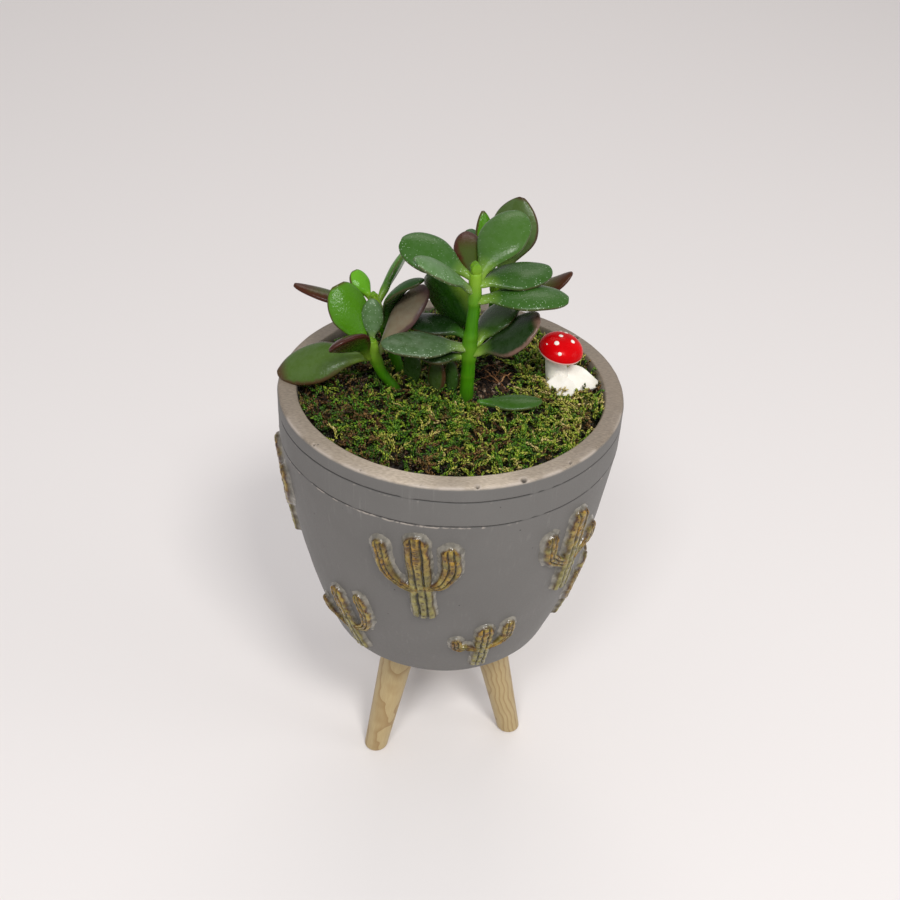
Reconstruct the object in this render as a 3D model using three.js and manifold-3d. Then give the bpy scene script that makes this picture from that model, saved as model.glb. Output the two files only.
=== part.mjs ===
import * as THREE from 'three';
import { mergeVertices } from 'three/addons/utils/BufferGeometryUtils.js';
import Module from 'manifold-3d';

const wasm = await Module();
wasm.setup();

// A crassula with several shoots in a small round pot on three wooden legs.
// Units are millimetres, +Z is up, the ground is z = 0 and the pot's axis is x = y = 0.
// An azimuth of 0 degrees points along -Y, the front, and 90 degrees along +X.

// Pot
const GROUND_TO_RIM = 163.8;
const POT_HEIGHT = 100;
const RIM_RADIUS = 60;
const RIM_INNER_RADIUS = 53.5;
const RIM_EDGE_ROUND = 1.6;
const RIM_INNER_EDGE = 0.6;
const UPPER_LINE_DEPTH = 5.8;
const LOWER_LINE_DEPTH = 15.7;
const LINE_WIDTH = 1;
const LINE_CUT = 0.5;
const BOTTOM_RADIUS = 42;
const BOTTOM_ROUND = 2.6;
const BOTTOM_ROUND_MIDDLE = { out: 1.95, up: 0.78 };
const WALL_THICKNESS = 6.8;
const FLOOR_THICKNESS = 13;
const FLOOR_CORNER = 4;
const OUTSIDE_DEPTHS = [94, 84, 70, 54, 36];
const INSIDE_DEPTHS = [6, 30, 54, 78];
const WALL_FULLNESS = 0.44;
const POT_SIDES = 44;
const POT_BOTTOM = GROUND_TO_RIM - POT_HEIGHT;

// Legs
const LEG_AZIMUTHS = [-46.2, 73.8, 193.8];
const LEG_FOOT_REACH = 32.5;
const LEG_TOP_REACH = 17;
const LEG_FOOT_RADIUS = 4.6;
const LEG_TOP_RADIUS = 7.5;
const LEG_SOCKET_DEPTH = 8;
const LEG_SOCKET_START = -5;
const LEG_SIDES = 20;
const LEG_FOOT_ROUND = 1;
const LEG_FOOT_CHAMFER = 0.7;

// Gap between pieces that touch
const GAP = 0.3;
// Distance within which vertices are one
const WELD = 1e-4;

// Saguaro figures that stand out of the wall, cast with it
const FIGURE_RELIEF = 2.5;
const FIGURE_ROOT = 1.6;
const FIGURE_MIDDLE = 17;
// Each figure: azimuth, lean to the left in degrees, how far its limbs reach sideways as a share of the
// usual, and how much higher the tips of its trunk, its left arm and its right arm are, before scaling.
const UPPER_ROW = {
	footDepth: 59.6,
	scale: 1,
	figures: [
		[-81, 2, 1, 0, -1, 0],
		[-6.7, 5, 0.96, -1, -3.5, -0.5],
		[49.5, 0, 0.94, -2.5, -6.5, -10],
		[110, -3, 1, 1, -2, 2],
		[168, 4, 1, 0, 1, -3],
		[226, -2, 1, -1, -3, 1]
	]
};
const LOWER_ROW = {
	footDepth: 92,
	scale: 0.76,
	figures: [
		[-39.5, 12, 1.3, 0, -14, 6],
		[18.5, 0, 1, -8.5, -15, -2.5],
		[74, 0, 1, 0, 0, 0],
		[136.3, 3, 1, -2, 1, -4],
		[197, -4, 1, 0, -3, 2],
		[254, 2, 1, -3, -1, 0]
	]
};
// Each limb runs along [across, up, half width] on the wall, from its root to its rounded tip.
const FIGURE_LIMBS = {
	trunk: {
		ribbed: true,
		path: [[0, -0.2, 4.4], [0, 17, 4.6], [0, 36.2, 4.8]]
	},
	leftArm: {
		ribbed: false,
		path: [[-2, 14, 1.9], [-7.8, 17.4, 2.3], [-11.8, 25, 3], [-12.9, 36.2, 3.1]]
	},
	rightArm: {
		ribbed: false,
		path: [[2, 15, 1.9], [7.6, 17.6, 2.7], [11, 23.4, 3.7], [11.4, 31.8, 3.6]]
	}
};
// Cross-sections of a limb as [across, out], as shares of the half width and of the relief.
const RIBBED_SECTION = [
	[1, 0.3],
	[0.76, 0.86],
	[0.36, 0.56],
	[0, 1],
	[-0.36, 0.56],
	[-0.76, 0.86],
	[-1, 0.3]
];
const PLAIN_SECTION = [[1, 0.3], [0.55, 0.9], [-0.55, 0.9], [-1, 0.3]];
// Rounded tip of a limb, as shares of its last half width and of the relief.
const LIMB_TIP = { along: 0.85, half: 0.56, out: 0.6 };

// Filling
const SOIL_TOP = 156.4;
const SOIL_CROWN = 1;
const SOIL_CROWN_RADIUS = 20;
const SOIL_SIDE_GAP = 0.36;
const SOIL_EDGE = { out: 3, down: 1 };
const MOSS_TOP = 160.5;
const MOSS_EDGE_DROP = 2.9;
const MOSS_EDGE_START = 0.86;
const MOSS_FOOT_INSET = 0.4;
const MOSS_UNDER_SHARES = [0.05, 0.5];
const MOSS_LUMP = 1;
const MOSS_RINGS = 7;
const MOSS_RING_SPREAD = 0.7;
// Waves of the moss: [across, along, phase across, phase along]
const MOSS_WAVES = [[[0.31, 0, 1.3], [0, 0.27, -0.4]], [[0.83, 0.61, 0], [-0.52, 0.71, 2]]];
const CUT_ABOVE = 8;
const CUT_BELOW = 2;
const BARE_PATCH = { x: 14.5, y: 10.6, halfX: 8.6, halfY: 16.6, turn: -0.1, sides: 16 };
const BARE_PATCH_WAVES = [[3, 1, 0.08], [5, 0, 0.05]];
const STEM_HOLE_GAP = 0.7;
const STEM_HOLE_TOP = 170;
const STEM_FOOT = 140;
const SEAT_GAP = 0.35;

// Stems: [x, y, z, radius] from the foot in the soil to the tip
const STEMS = {
	main: [
		[5, -6.2, STEM_FOOT, 2.4],
		[5.4, -6, 160.8, 2.4],
		[5.5, -6, 182, 2.3],
		[6.3, -6, 200.8, 1.9],
		[6, -6, 210, 1.7]
	],
	front_left: [
		[-17.5, 0.5, STEM_FOOT, 2.2],
		[-19.5, -0.7, 160.8, 2.2],
		[-24.2, -2.4, 168, 2.1],
		[-27, -3, 175.5, 2],
		[-27.6, -3, 181, 1.6]
	],
	rear_left: [
		[-16.5, 11, STEM_FOOT, 2],
		[-18.2, 11, 160.2, 2],
		[-21.7, 10.8, 170, 1.9],
		[-25, 10.6, 179.5, 1.8],
		[-28, 10.5, 191, 1.4]
	],
	rear_right: [
		[14.2, 35, STEM_FOOT, 2],
		[14, 33, 160.8, 2],
		[13.8, 30, 176, 1.8],
		[13.9, 27.8, 193, 1.5]
	]
};
const STEM_SIDES = 10;
const STEM_STEPS = 9;
// Closed pair of young leaves at the tip of each stem
const BUD_AZIMUTHS = [20, 200];
const BUD_DROP = 1.5;
const BUD_OUT = 0.5;
const BUD = { rise: 74, bend: 24, length: 5.6, width: 3.2, thickness: 1.6, stations: 5 };

// Colours
const GREENS = {
	deep: 0x2f5a2a,
	mid: 0x4b7f35,
	bright: 0x5fa01f,
	dusty: 0x6f8f6a,
	olive: 0x5d6b30,
	bronze: 0x6a6450,
	red: 0x5a3023,
	shade: 0x1f3d18
};

// Leaves: name, stem, height of the seat, azimuth and rise at the seat, bend along the leaf, all in
// degrees, length, width, roll and swing in degrees, roundness of the tip, and colour
const LEAVES = [
	['leaf_top_left_large', 'main', 208.8, -104, 30, -22, 24.5, 15.6, 22, 0, 0.5, 'mid'],
	['leaf_top_left_front', 'main', 205, -51, 49, -26, 26.5, 11.4, 17, -1, 0.5, 'dusty'],
	['leaf_top_rear_red', 'main', 204.6, -169, 45, -33, 20.5, 10.4, 2, -1, 0.5, 'red'],
	['leaf_mid_left', 'main', 200.4, -141, -42, 50, 25.5, 22.4, -70, 0, 0.55, 'deep'],
	['leaf_mid_right_large', 'main', 200.5, 89, 17, -27, 28.5, 16.2, -2, 0, 0.5, 'mid'],
	['leaf_top_upright', 'main', 207.8, 147, 49, -33, 27, 16.6, -5, -1, 0.45, 'mid'],
	['leaf_top_right_dark', 'main', 205.8, 117, 4, -4, 25.6, 16.2, -3, -1, 0.5, 'deep'],
	['leaf_low_right_rear', 'main', 184.8, 140, 36, -9, 20, 13.6, 20, 0, 0.55, 'shade'],
	['leaf_low_right', 'main', 181, 87, 31, 14, 24.5, 15.6, -12, 0, 0.55, 'deep'],
	['leaf_low_left_long', 'main', 182.4, -77, 16, -20, 27.5, 15.2, 3, 0, 0.6, 'dusty'],
	['leaf_low_left_under', 'main', 178.4, -84, 3, -2, 18, 10.5, -4, 0, 0.55, 'mid'],
	['leaf_low_left_rear', 'main', 186.4, -121, 4, -18, 24, 13.4, 0, 0, 0.55, 'shade'],
	['leaf_shoot_left_long', 'front_left', 174.2, -93, -1, -32, 33.5, 16.6, 27, 1, 0.6, 'olive'],
	['leaf_shoot_front_red', 'front_left', 176.6, -31, 66, -70, 25, 12, -45, 0, 0.6, 'red'],
	['leaf_shoot_bright', 'front_left', 177.6, -126, 64, -12, 23, 14.8, 6, 0, 0.45, 'bright'],
	['leaf_shoot_narrow', 'front_left', 179.6, 184, 74, -4, 14, 6, 2, 0, 0.6, 'deep'],
	['leaf_shoot_bronze', 'front_left', 177, 119, 62, -22, 26.5, 13.6, -1, 0, 0.45, 'bronze'],
	['leaf_rear_left_thin', 'rear_left', 185.6, -100, 8, 4, 28.5, 9.4, -13, 0, 0.6, 'red'],
	['leaf_rear_left_small', 'rear_left', 188.9, -130, 42, 7, 10.8, 7.8, 0, 0, 0.5, 'bright'],
	['leaf_rear_left_upright', 'rear_left', 187.9, 155, 43, -24, 22.5, 9, 67, -5, 0.5, 'olive'],
	['leaf_rear_left_dark', 'rear_left', 181.5, 42, 90, -70, 27.5, 9.6, 0, 26, 0.5, 'deep'],
	['leaf_rear_right_pointed', 'rear_right', 191.6, 145, 67, 4, 27.5, 18.4, -4, 0, 0.8, 'olive'],
	['leaf_rear_right_small', 'rear_right', 190.8, -139, 73, 3, 23, 8.4, -3, 0, 0.8, 'bright'],
	['leaf_rear_right_red_tip', 'rear_right', 186.5, 77, -4, 54, 28, 11.2, -6, 0, 0.6, 'red'],
	['leaf_rear_right_back', 'rear_right', 188.4, 205, 20, 8, 24, 13, 0, 0, 0.55, 'deep']
];
const LEAF_THICKNESS = 3.2;
const LEAF_CUP = 0.12;
const LEAF_NECK = 0.2;
const LEAF_NECK_POWER = 1.7;
const LEAF_WIDEST = 0.56;
const LEAF_END_POWER = 2.1;
const LEAF_POINT = 0.5;
const LEAF_ROLL_START = 0.3;
const LEAF_THIN_FROM = 0.5;
const LEAF_THIN_LENGTH = 0.52;
const LEAF_NECK_THICKNESS = 0.75;
const LEAF_THICKENING = 0.5;
const LEAF_STATIONS = 8;
const LEAF_STEPS = 4;
const LEAF_SIDES = 8;
const LEAF_TIP_SHARE = 0.97;

// Sprouts at the foot of the stems: name, x, y, azimuth, rise, bend, length, width, colour
const SPROUTS = [
	['sprout_left', -14.4, 2.8, 150, 84, 4, 15.5, 7.2, 'shade'],
	['sprout_mid', -5.6, -2.6, 150, 86, 2, 16.5, 6.6, 'bronze'],
	['sprout_right', -0.2, -1.6, 140, 88, 4, 16, 6, 'deep']
];
const SPROUT_FOOT = 157.6;
const SPROUT_THICKNESS = 1.8;
const SPROUT_STATIONS = 7;
const SPROUT_HOLE = 2.3;
const SPROUT_HOLE_SIDES = 8;

// Fallen leaf on the moss
const FALLEN_SEAT = [9.6, -10.6, 162.6];
const FALLEN = { azimuth: 93, rise: 3, bend: 0, length: 22.5, width: 8.4, point: 0.6, thickness: 2 };

// Toadstool ornament
const TOADSTOOL = { x: 40.6, y: 7.5, leanX: -0.2, leanY: 0.08, sides: 18 };
// Foot and stalk: [z, radius, share of the uneven outline]
const FOOT_RINGS = [
	[157, 7.9, 0.05],
	[159.4, 8.8, 0.07],
	[163.2, 7.9, 0.08],
	[165.4, 5.5, 0.06],
	[169.2, 4.2, 0]
];
const FOOT_WAVES = [[2, 0.7, 1], [5, 2, 0.6], [7, 0, 0.4]];
const STALK_TOP_RADIUS = 3.9;
const CAP_Z = 173.2;
const CAP_TILT = 0.12;
const CAP_RADIUS = 7.9;
const CAP_HEIGHT = 6.2;
const CAP_BROW = 0.9;
const CAP_UNDERSIDE = [[0, 0.3], [6.8, -0.2], [7.66, 0]];
const CAP_STEPS = 7;

function radians(degrees) {
	return degrees * Math.PI / 180;
}

// Sum of sine waves of an angle, from rows of [count, phase, size].
function waves(rows, angle) {
	return rows.reduce((sum, [count, phase, size]) => sum + size * Math.sin(count * angle + phase), 0);
}

// One value for each angle of a full turn.
function aroundTurn(sides, valueAt) {
	return Array.from({ length: sides }, (_, j) => valueAt(j / sides * 2 * Math.PI));
}

// Unit vector of an azimuth and a rise.
function heading(azimuth, rise = 0) {
	const a = radians(azimuth);
	const e = radians(rise);
	return new THREE.Vector3(Math.sin(a) * Math.cos(e), -Math.cos(a) * Math.cos(e), Math.sin(e));
}

// Outer radius of the pot's wall at a depth below the rim.
function wallRadius(depth) {
	const share = Math.max(0, (depth - LOWER_LINE_DEPTH) / (POT_HEIGHT - LOWER_LINE_DEPTH));
	const fall = (1 - WALL_FULLNESS) * share + WALL_FULLNESS * share ** 3;
	return RIM_RADIUS - (RIM_RADIUS - BOTTOM_RADIUS) * fall;
}

// Inner radius of the pot at a height, straight between the profile's corners.
function innerRadius(z) {
	const depth = GROUND_TO_RIM - z;
	const corners = INSIDE_DEPTHS.map((d) => Math.min(RIM_INNER_RADIUS, wallRadius(d) - WALL_THICKNESS));
	let i = 0;
	while (i < INSIDE_DEPTHS.length - 2 && INSIDE_DEPTHS[i + 1] < depth) {
		i += 1;
	}
	const share = Math.max(0, (depth - INSIDE_DEPTHS[i]) / (INSIDE_DEPTHS[i + 1] - INSIDE_DEPTHS[i]));
	return corners[i] + (corners[i + 1] - corners[i]) * share;
}

// Closed solid from rings of points: every ring has the same count, and both ends are closed by a fan.
function ringSolid(rings) {
	const count = rings[0].length;
	const position = rings.flat().flatMap((p) => [p.x, p.y, p.z]);
	const index = [];
	for (let i = 0; i < rings.length - 1; i++) {
		for (let j = 0; j < count; j++) {
			const a = i * count + j;
			const b = i * count + (j + 1) % count;
			index.push(a, b, b + count, a, b + count, a + count);
		}
	}
	const closeEnd = (ring, flip) => {
		const middle = new THREE.Vector3();
		rings[ring].forEach((p) => middle.addScaledVector(p, 1 / count));
		const m = position.length / 3;
		position.push(middle.x, middle.y, middle.z);
		for (let j = 0; j < count; j++) {
			const a = ring * count + j;
			const b = ring * count + (j + 1) % count;
			index.push(m, flip ? b : a, flip ? a : b);
		}
	};
	closeEnd(0, true);
	closeEnd(rings.length - 1, false);
	const geometry = new THREE.BufferGeometry();
	geometry.setAttribute('position', new THREE.Float32BufferAttribute(position, 3));
	geometry.setIndex(index);
	return outward(geometry);
}

// Turns the faces round where the signed volume is negative.
function outward(geometry) {
	const p = geometry.attributes.position;
	const index = geometry.index.array;
	const a = new THREE.Vector3();
	const b = new THREE.Vector3();
	const c = new THREE.Vector3();
	let volume = 0;
	for (let i = 0; i < index.length; i += 3) {
		a.fromBufferAttribute(p, index[i]);
		b.fromBufferAttribute(p, index[i + 1]);
		c.fromBufferAttribute(p, index[i + 2]);
		volume += a.dot(b.cross(c));
	}
	if (volume < 0) {
		index.reverse();
	}
	return geometry;
}

function toManifold(geometry) {
	const plain = geometry.clone();
	plain.deleteAttribute('normal');
	plain.deleteAttribute('uv');
	const merged = mergeVertices(plain, WELD);
	const mesh = new wasm.Mesh({
		numProp: 3,
		vertProperties: new Float32Array(merged.attributes.position.array),
		triVerts: new Uint32Array(merged.index.array)
	});
	return new wasm.Manifold(mesh);
}

function fromManifold(solid) {
	const mesh = solid.getMesh();
	const geometry = new THREE.BufferGeometry();
	geometry.setAttribute('position', new THREE.BufferAttribute(mesh.vertProperties, 3));
	geometry.setIndex(new THREE.BufferAttribute(mesh.triVerts, 1));
	return geometry;
}

// Solid of revolution about Z from a profile of [radius, z] that starts and ends on the axis.
function revolve(profile, sides) {
	const points = profile.map(([r, z]) => new THREE.Vector2(r, z));
	const lathe = new THREE.LatheGeometry(points, sides);
	lathe.rotateX(Math.PI / 2);
	lathe.deleteAttribute('normal');
	lathe.deleteAttribute('uv');
	const merged = mergeVertices(lathe, WELD);
	return outward(dropFlatTriangles(merged));
}

// Removes the triangles that a lathe collapses onto its axis.
function dropFlatTriangles(geometry) {
	const index = geometry.index.array;
	const kept = [];
	for (let i = 0; i < index.length; i += 3) {
		const [a, b, c] = [index[i], index[i + 1], index[i + 2]];
		if (a !== b && b !== c && c !== a) {
			kept.push(a, b, c);
		}
	}
	geometry.setIndex(kept);
	return geometry;
}

function levelRing({ x, y, z }, radius, sides) {
	const point = (a) => new THREE.Vector3(x + radius * Math.cos(a), y + radius * Math.sin(a), z);
	return aroundTurn(sides, point);
}

// Straight round bar between two points, with level end faces.
function bar(bottom, top, bottomRadius, topRadius, sides, extra = []) {
	const stations = [[0, bottomRadius], ...extra, [1, topRadius]];
	const rings = stations.map(([t, radius]) => {
		const centre = new THREE.Vector3().lerpVectors(bottom, top, t);
		return levelRing(centre, radius, sides);
	});
	return ringSolid(rings);
}

function legLine(azimuth, z) {
	const reach = LEG_FOOT_REACH + (LEG_TOP_REACH - LEG_FOOT_REACH) * z / POT_BOTTOM;
	return heading(azimuth).multiplyScalar(reach).setZ(z);
}

function leg(azimuth, grow = 0, from = 0, to = POT_BOTTOM + LEG_SOCKET_DEPTH - GAP) {
	const radiusAt = (z) => LEG_FOOT_RADIUS + (LEG_TOP_RADIUS - LEG_FOOT_RADIUS) * z / POT_BOTTOM + grow;
	const roundShare = LEG_FOOT_ROUND / (to - from);
	const extra = from === 0 ? [[roundShare, radiusAt(LEG_FOOT_ROUND)]] : [];
	const foot = radiusAt(from) - (from === 0 ? LEG_FOOT_CHAMFER : 0);
	return bar(legLine(azimuth, from), legLine(azimuth, to), foot, radiusAt(to), LEG_SIDES, extra);
}

// Path of a limb with its reach, its tip raised, half as much just before it, and leaned about the middle.
function posedPath(path, rise, lean, reach) {
	const turn = radians(lean);
	return path.map(([side, y, half], i) => {
		const x = side * reach;
		const fromTip = path.length - 1 - i;
		const up = y + rise * Math.max(0, 1 - fromTip / 2) - FIGURE_MIDDLE;
		return [
			x * Math.cos(turn) - up * Math.sin(turn),
			x * Math.sin(turn) + up * Math.cos(turn) + FIGURE_MIDDLE,
			half
		];
	});
}

// One limb of a figure, bent round the wall.
function figureLimb(ribbed, path, azimuth, footDepth, scale) {
	const section = ribbed ? RIBBED_SECTION : PLAIN_SECTION;
	const points = path.map(([x, y]) => new THREE.Vector2(x, y));
	const last = path[path.length - 1];
	const end = points[points.length - 1];
	const before = points[points.length - 2];
	const along = end.clone().sub(before).normalize();
	const stations = path.map(([, , half], i) => ({ centre: points[i], half, out: 1 }));
	stations.push({
		centre: end.clone().addScaledVector(along, last[2] * LIMB_TIP.along),
		half: last[2] * LIMB_TIP.half,
		out: LIMB_TIP.out
	});
	const rings = stations.map(({ centre, half, out }, i) => {
		const previous = stations[Math.max(0, i - 1)].centre;
		const next = stations[Math.min(stations.length - 1, i + 1)].centre;
		const direction = next.clone().sub(previous).normalize();
		const across = new THREE.Vector2(direction.y, -direction.x);
		const place = (share, height) => {
			const x = (centre.x + across.x * share * half) * scale;
			const y = (centre.y + across.y * share * half) * scale;
			const depth = footDepth - y;
			const wall = wallRadius(depth);
			const angle = azimuth + x / wall * 180 / Math.PI;
			return heading(angle).multiplyScalar(wall + height).setZ(GROUND_TO_RIM - depth);
		};
		const front = section.map(([share, height]) => place(share, height * out * FIGURE_RELIEF));
		return [...front, place(-1, -FIGURE_ROOT), place(1, -FIGURE_ROOT)];
	});
	return ringSolid(rings);
}

function potProfile() {
	const rim = GROUND_TO_RIM;
	const line = (depth) => [
		[wallRadius(depth), rim - depth - LINE_WIDTH / 2],
		[wallRadius(depth) - LINE_CUT, rim - depth],
		[wallRadius(depth), rim - depth + LINE_WIDTH / 2]
	];
	const outside = OUTSIDE_DEPTHS.map((depth) => [wallRadius(depth), rim - depth]);
	const inside = INSIDE_DEPTHS.map((depth) => [innerRadius(rim - depth), rim - depth]);
	const floor = POT_BOTTOM + FLOOR_THICKNESS;
	const cornerRadius = wallRadius(POT_HEIGHT) - BOTTOM_ROUND;
	return [
		[0, POT_BOTTOM],
		[cornerRadius, POT_BOTTOM],
		[cornerRadius + BOTTOM_ROUND_MIDDLE.out, POT_BOTTOM + BOTTOM_ROUND_MIDDLE.up],
		...outside,
		...line(LOWER_LINE_DEPTH),
		...line(UPPER_LINE_DEPTH),
		[RIM_RADIUS, rim - RIM_EDGE_ROUND],
		[RIM_RADIUS - RIM_EDGE_ROUND * 0.3, rim - RIM_EDGE_ROUND * 0.3],
		[RIM_RADIUS - RIM_EDGE_ROUND, rim],
		[RIM_INNER_RADIUS + RIM_INNER_EDGE, rim],
		[RIM_INNER_RADIUS, rim - RIM_INNER_EDGE],
		...inside,
		[inside[inside.length - 1][0] - FLOOR_CORNER, floor],
		[0, floor]
	];
}

function pot() {
	let solid = toManifold(revolve(potProfile(), POT_SIDES));
	for (const row of [UPPER_ROW, LOWER_ROW]) {
		for (const [azimuth, lean, reach, ...rises] of row.figures) {
			for (const [i, { ribbed, path }] of Object.values(FIGURE_LIMBS).entries()) {
				const posed = posedPath(path, rises[i], lean, reach);
				solid = solid.add(toManifold(figureLimb(ribbed, posed, azimuth, row.footDepth, row.scale)));
			}
		}
	}
	for (const azimuth of LEG_AZIMUTHS) {
		const socket = leg(azimuth, GAP, POT_BOTTOM + LEG_SOCKET_START, POT_BOTTOM + LEG_SOCKET_DEPTH);
		solid = solid.subtract(toManifold(socket));
	}
	return fromManifold(solid);
}

// Centre and radius of a stem at a height.
function stemAt(points, z) {
	let i = 0;
	while (i < points.length - 2 && points[i + 1][2] < z) {
		i += 1;
	}
	const [a, b] = [points[i], points[i + 1]];
	const share = (z - a[2]) / (b[2] - a[2]);
	return {
		centre: new THREE.Vector3(a[0] + (b[0] - a[0]) * share, a[1] + (b[1] - a[1]) * share, z),
		radius: a[3] + (b[3] - a[3]) * share
	};
}

// Upright bar that follows a stem between two heights, with level rings.
function stemBar(points, from, to, grow, steps) {
	const rings = Array.from({ length: steps + 1 }, (_, i) => {
		const { centre, radius } = stemAt(points, from + (to - from) * i / steps);
		return levelRing(centre, radius + grow, STEM_SIDES);
	});
	return ringSolid(rings);
}

// Half width of a blade as a share of its greatest, from the seat (0) to the tip (1).
function bladeShare(u, point) {
	if (u < LEAF_WIDEST) {
		return LEAF_NECK + (1 - LEAF_NECK) * Math.sin(Math.PI / 2 * u / LEAF_WIDEST) ** LEAF_NECK_POWER;
	}
	return (1 - ((u - LEAF_WIDEST) / (1 - LEAF_WIDEST)) ** LEAF_END_POWER) ** point;
}

// A thick, cupped blade that starts at a seat and bends along its length.
function blade(shape) {
	const { seat, azimuth, rise, bend, length, width, thickness } = shape;
	const { roll = 0, swing = 0, point = LEAF_POINT, stations = LEAF_STATIONS } = shape;
	const rings = [];
	const centre = seat.clone();
	let before = 0;
	for (let i = 0; i < stations; i++) {
		const u = LEAF_TIP_SHARE * Math.sin(Math.PI / 2 * i / (stations - 1));
		for (let k = 0; k < LEAF_STEPS; k++) {
			const mid = before + (u - before) * (k + 0.5) / LEAF_STEPS;
			const step = (u - before) / LEAF_STEPS * length;
			centre.addScaledVector(heading(azimuth + swing * mid, rise + bend * mid), step);
		}
		before = u;
		const forward = heading(azimuth + swing * u, rise + bend * u);
		const level = heading(azimuth + swing * u + 90);
		const turn = radians(roll) * Math.min(1, u / LEAF_ROLL_START);
		const side = level.clone().applyAxisAngle(forward, -turn);
		const normal = side.clone().cross(forward).normalize();
		const half = width / 2 * bladeShare(u, point);
		const taper = Math.sqrt(1 - Math.max(0, (u - LEAF_THIN_FROM) / LEAF_THIN_LENGTH) ** 2);
		const thick = thickness / 2 * Math.min(1, LEAF_NECK_THICKNESS + LEAF_THICKENING * u) * taper;
		rings.push(aroundTurn(LEAF_SIDES, (a) => {
			const across = Math.cos(a);
			const lift = thick * Math.sin(a) + LEAF_CUP * half * across * across;
			return centre.clone().addScaledVector(side, half * across).addScaledVector(normal, lift);
		}));
	}
	return ringSolid(rings);
}

function leafOnStem([, stem, height, azimuth, rise, bend, length, width, roll, swing, point]) {
	const { centre, radius } = stemAt(STEMS[stem], height);
	const neck = LEAF_THICKNESS / 2 * LEAF_NECK_THICKNESS;
	const out = radius + SEAT_GAP + neck * Math.abs(Math.sin(radians(rise)));
	const seat = centre.addScaledVector(heading(azimuth), out);
	const shape = { seat, azimuth, rise, bend, length, width, roll, swing, point };
	return blade({ ...shape, thickness: LEAF_THICKNESS });
}

// Stem with a pair of closed young leaves at its tip, fused to it.
function stem(points) {
	const [x, y, z] = points[points.length - 1];
	let solid = toManifold(stemBar(points, STEM_FOOT, z, 0, STEM_STEPS));
	for (const azimuth of BUD_AZIMUTHS) {
		const seat = new THREE.Vector3(x, y, z - BUD_DROP).addScaledVector(heading(azimuth), BUD_OUT);
		solid = solid.add(toManifold(blade({ seat, azimuth, ...BUD })));
	}
	return fromManifold(solid);
}

// Lumps of the moss, between -1 and 1: each row is the product of a sine and a cosine wave.
function lumps(x, y) {
	const products = MOSS_WAVES.map(([first, second]) => {
		const sine = Math.sin(first[0] * x + first[1] * y + first[2]);
		const cosine = Math.cos(second[0] * x + second[1] * y + second[2]);
		return sine * cosine;
	});
	return products.reduce((sum, product) => sum + product, 0) / products.length;
}

function soil() {
	const floor = POT_BOTTOM + FLOOR_THICKNESS + GAP;
	const side = (z) => innerRadius(z) - SOIL_SIDE_GAP;
	const heights = INSIDE_DEPTHS.slice(1).reverse().map((depth) => GROUND_TO_RIM - depth);
	const profile = [
		[0, floor],
		[side(heights[0]) - FLOOR_CORNER, floor],
		...heights.map((z) => [side(z), z]),
		[side(SOIL_TOP - SOIL_EDGE.down), SOIL_TOP - SOIL_EDGE.down],
		[side(SOIL_TOP) - SOIL_EDGE.out, SOIL_TOP],
		[SOIL_CROWN_RADIUS, SOIL_TOP + SOIL_CROWN / 2],
		[0, SOIL_TOP + SOIL_CROWN]
	];
	let solid = toManifold(revolve(profile, POT_SIDES));
	for (const points of Object.values(STEMS)) {
		const hole = stemBar(points, STEM_FOOT - GAP, STEM_HOLE_TOP, STEM_HOLE_GAP, STEM_STEPS);
		solid = solid.subtract(toManifold(hole));
	}
	return fromManifold(solid);
}

function mossDisc() {
	const outer = innerRadius(MOSS_TOP) - GAP;
	const ringAt = (radius, heightAt) => aroundTurn(POT_SIDES, (a) => {
		const x = radius * Math.cos(a);
		const y = radius * Math.sin(a);
		return new THREE.Vector3(x, y, heightAt(x, y, radius));
	});
	const underside = (x, y, r) => SOIL_TOP + GAP + SOIL_CROWN * Math.max(0, 1 - r / outer);
	const topside = (x, y, r) => {
		const edge = THREE.MathUtils.smoothstep(r, outer * MOSS_EDGE_START, outer);
		return MOSS_TOP + MOSS_LUMP * lumps(x, y) - MOSS_EDGE_DROP * edge;
	};
	const rings = MOSS_UNDER_SHARES.map((share) => ringAt(outer * share, underside));
	rings.push(ringAt(outer - MOSS_FOOT_INSET, underside));
	for (let i = 0; i < MOSS_RINGS; i++) {
		rings.push(ringAt(outer * (1 - i / MOSS_RINGS) ** MOSS_RING_SPREAD, topside));
	}
	return ringSolid(rings);
}

// Upright plug with an uneven outline, which is cut out of the moss where the soil is bare.
function barePatch() {
	const { x, y, halfX, halfY, turn, sides } = BARE_PATCH;
	const ring = (z) => aroundTurn(sides, (a) => {
		const wave = 1 + waves(BARE_PATCH_WAVES, a);
		const along = halfX * wave * Math.cos(a);
		const across = halfY * wave * Math.sin(a);
		return new THREE.Vector3(
			x + along * Math.cos(turn) - across * Math.sin(turn),
			y + along * Math.sin(turn) + across * Math.cos(turn),
			z
		);
	});
	return ringSolid([ring(SOIL_TOP - CUT_BELOW), ring(MOSS_TOP + CUT_ABOVE)]);
}

function toadstoolCentre(z) {
	const rise = z - FOOT_RINGS[0][0];
	return [TOADSTOOL.x + TOADSTOOL.leanX * rise, TOADSTOOL.y + TOADSTOOL.leanY * rise];
}

// Foot of the toadstool: an uneven stone that rises into the stalk, whose top follows the cap.
function toadstoolFoot(grow = 0) {
	const ring = (z, radius, unevenness, tilt) => aroundTurn(TOADSTOOL.sides, (a) => {
		const r = radius * (1 + unevenness * waves(FOOT_WAVES, a)) + grow;
		const [x, y] = toadstoolCentre(z);
		return new THREE.Vector3(x + r * Math.cos(a), y + r * Math.sin(a), z + tilt * r * Math.sin(a));
	});
	const rings = FOOT_RINGS.map(([z, radius, unevenness]) => ring(z, radius, unevenness, 0));
	rings.push(ring(CAP_Z - GAP, STALK_TOP_RADIUS, 0, CAP_TILT));
	return ringSolid(rings);
}

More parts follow.
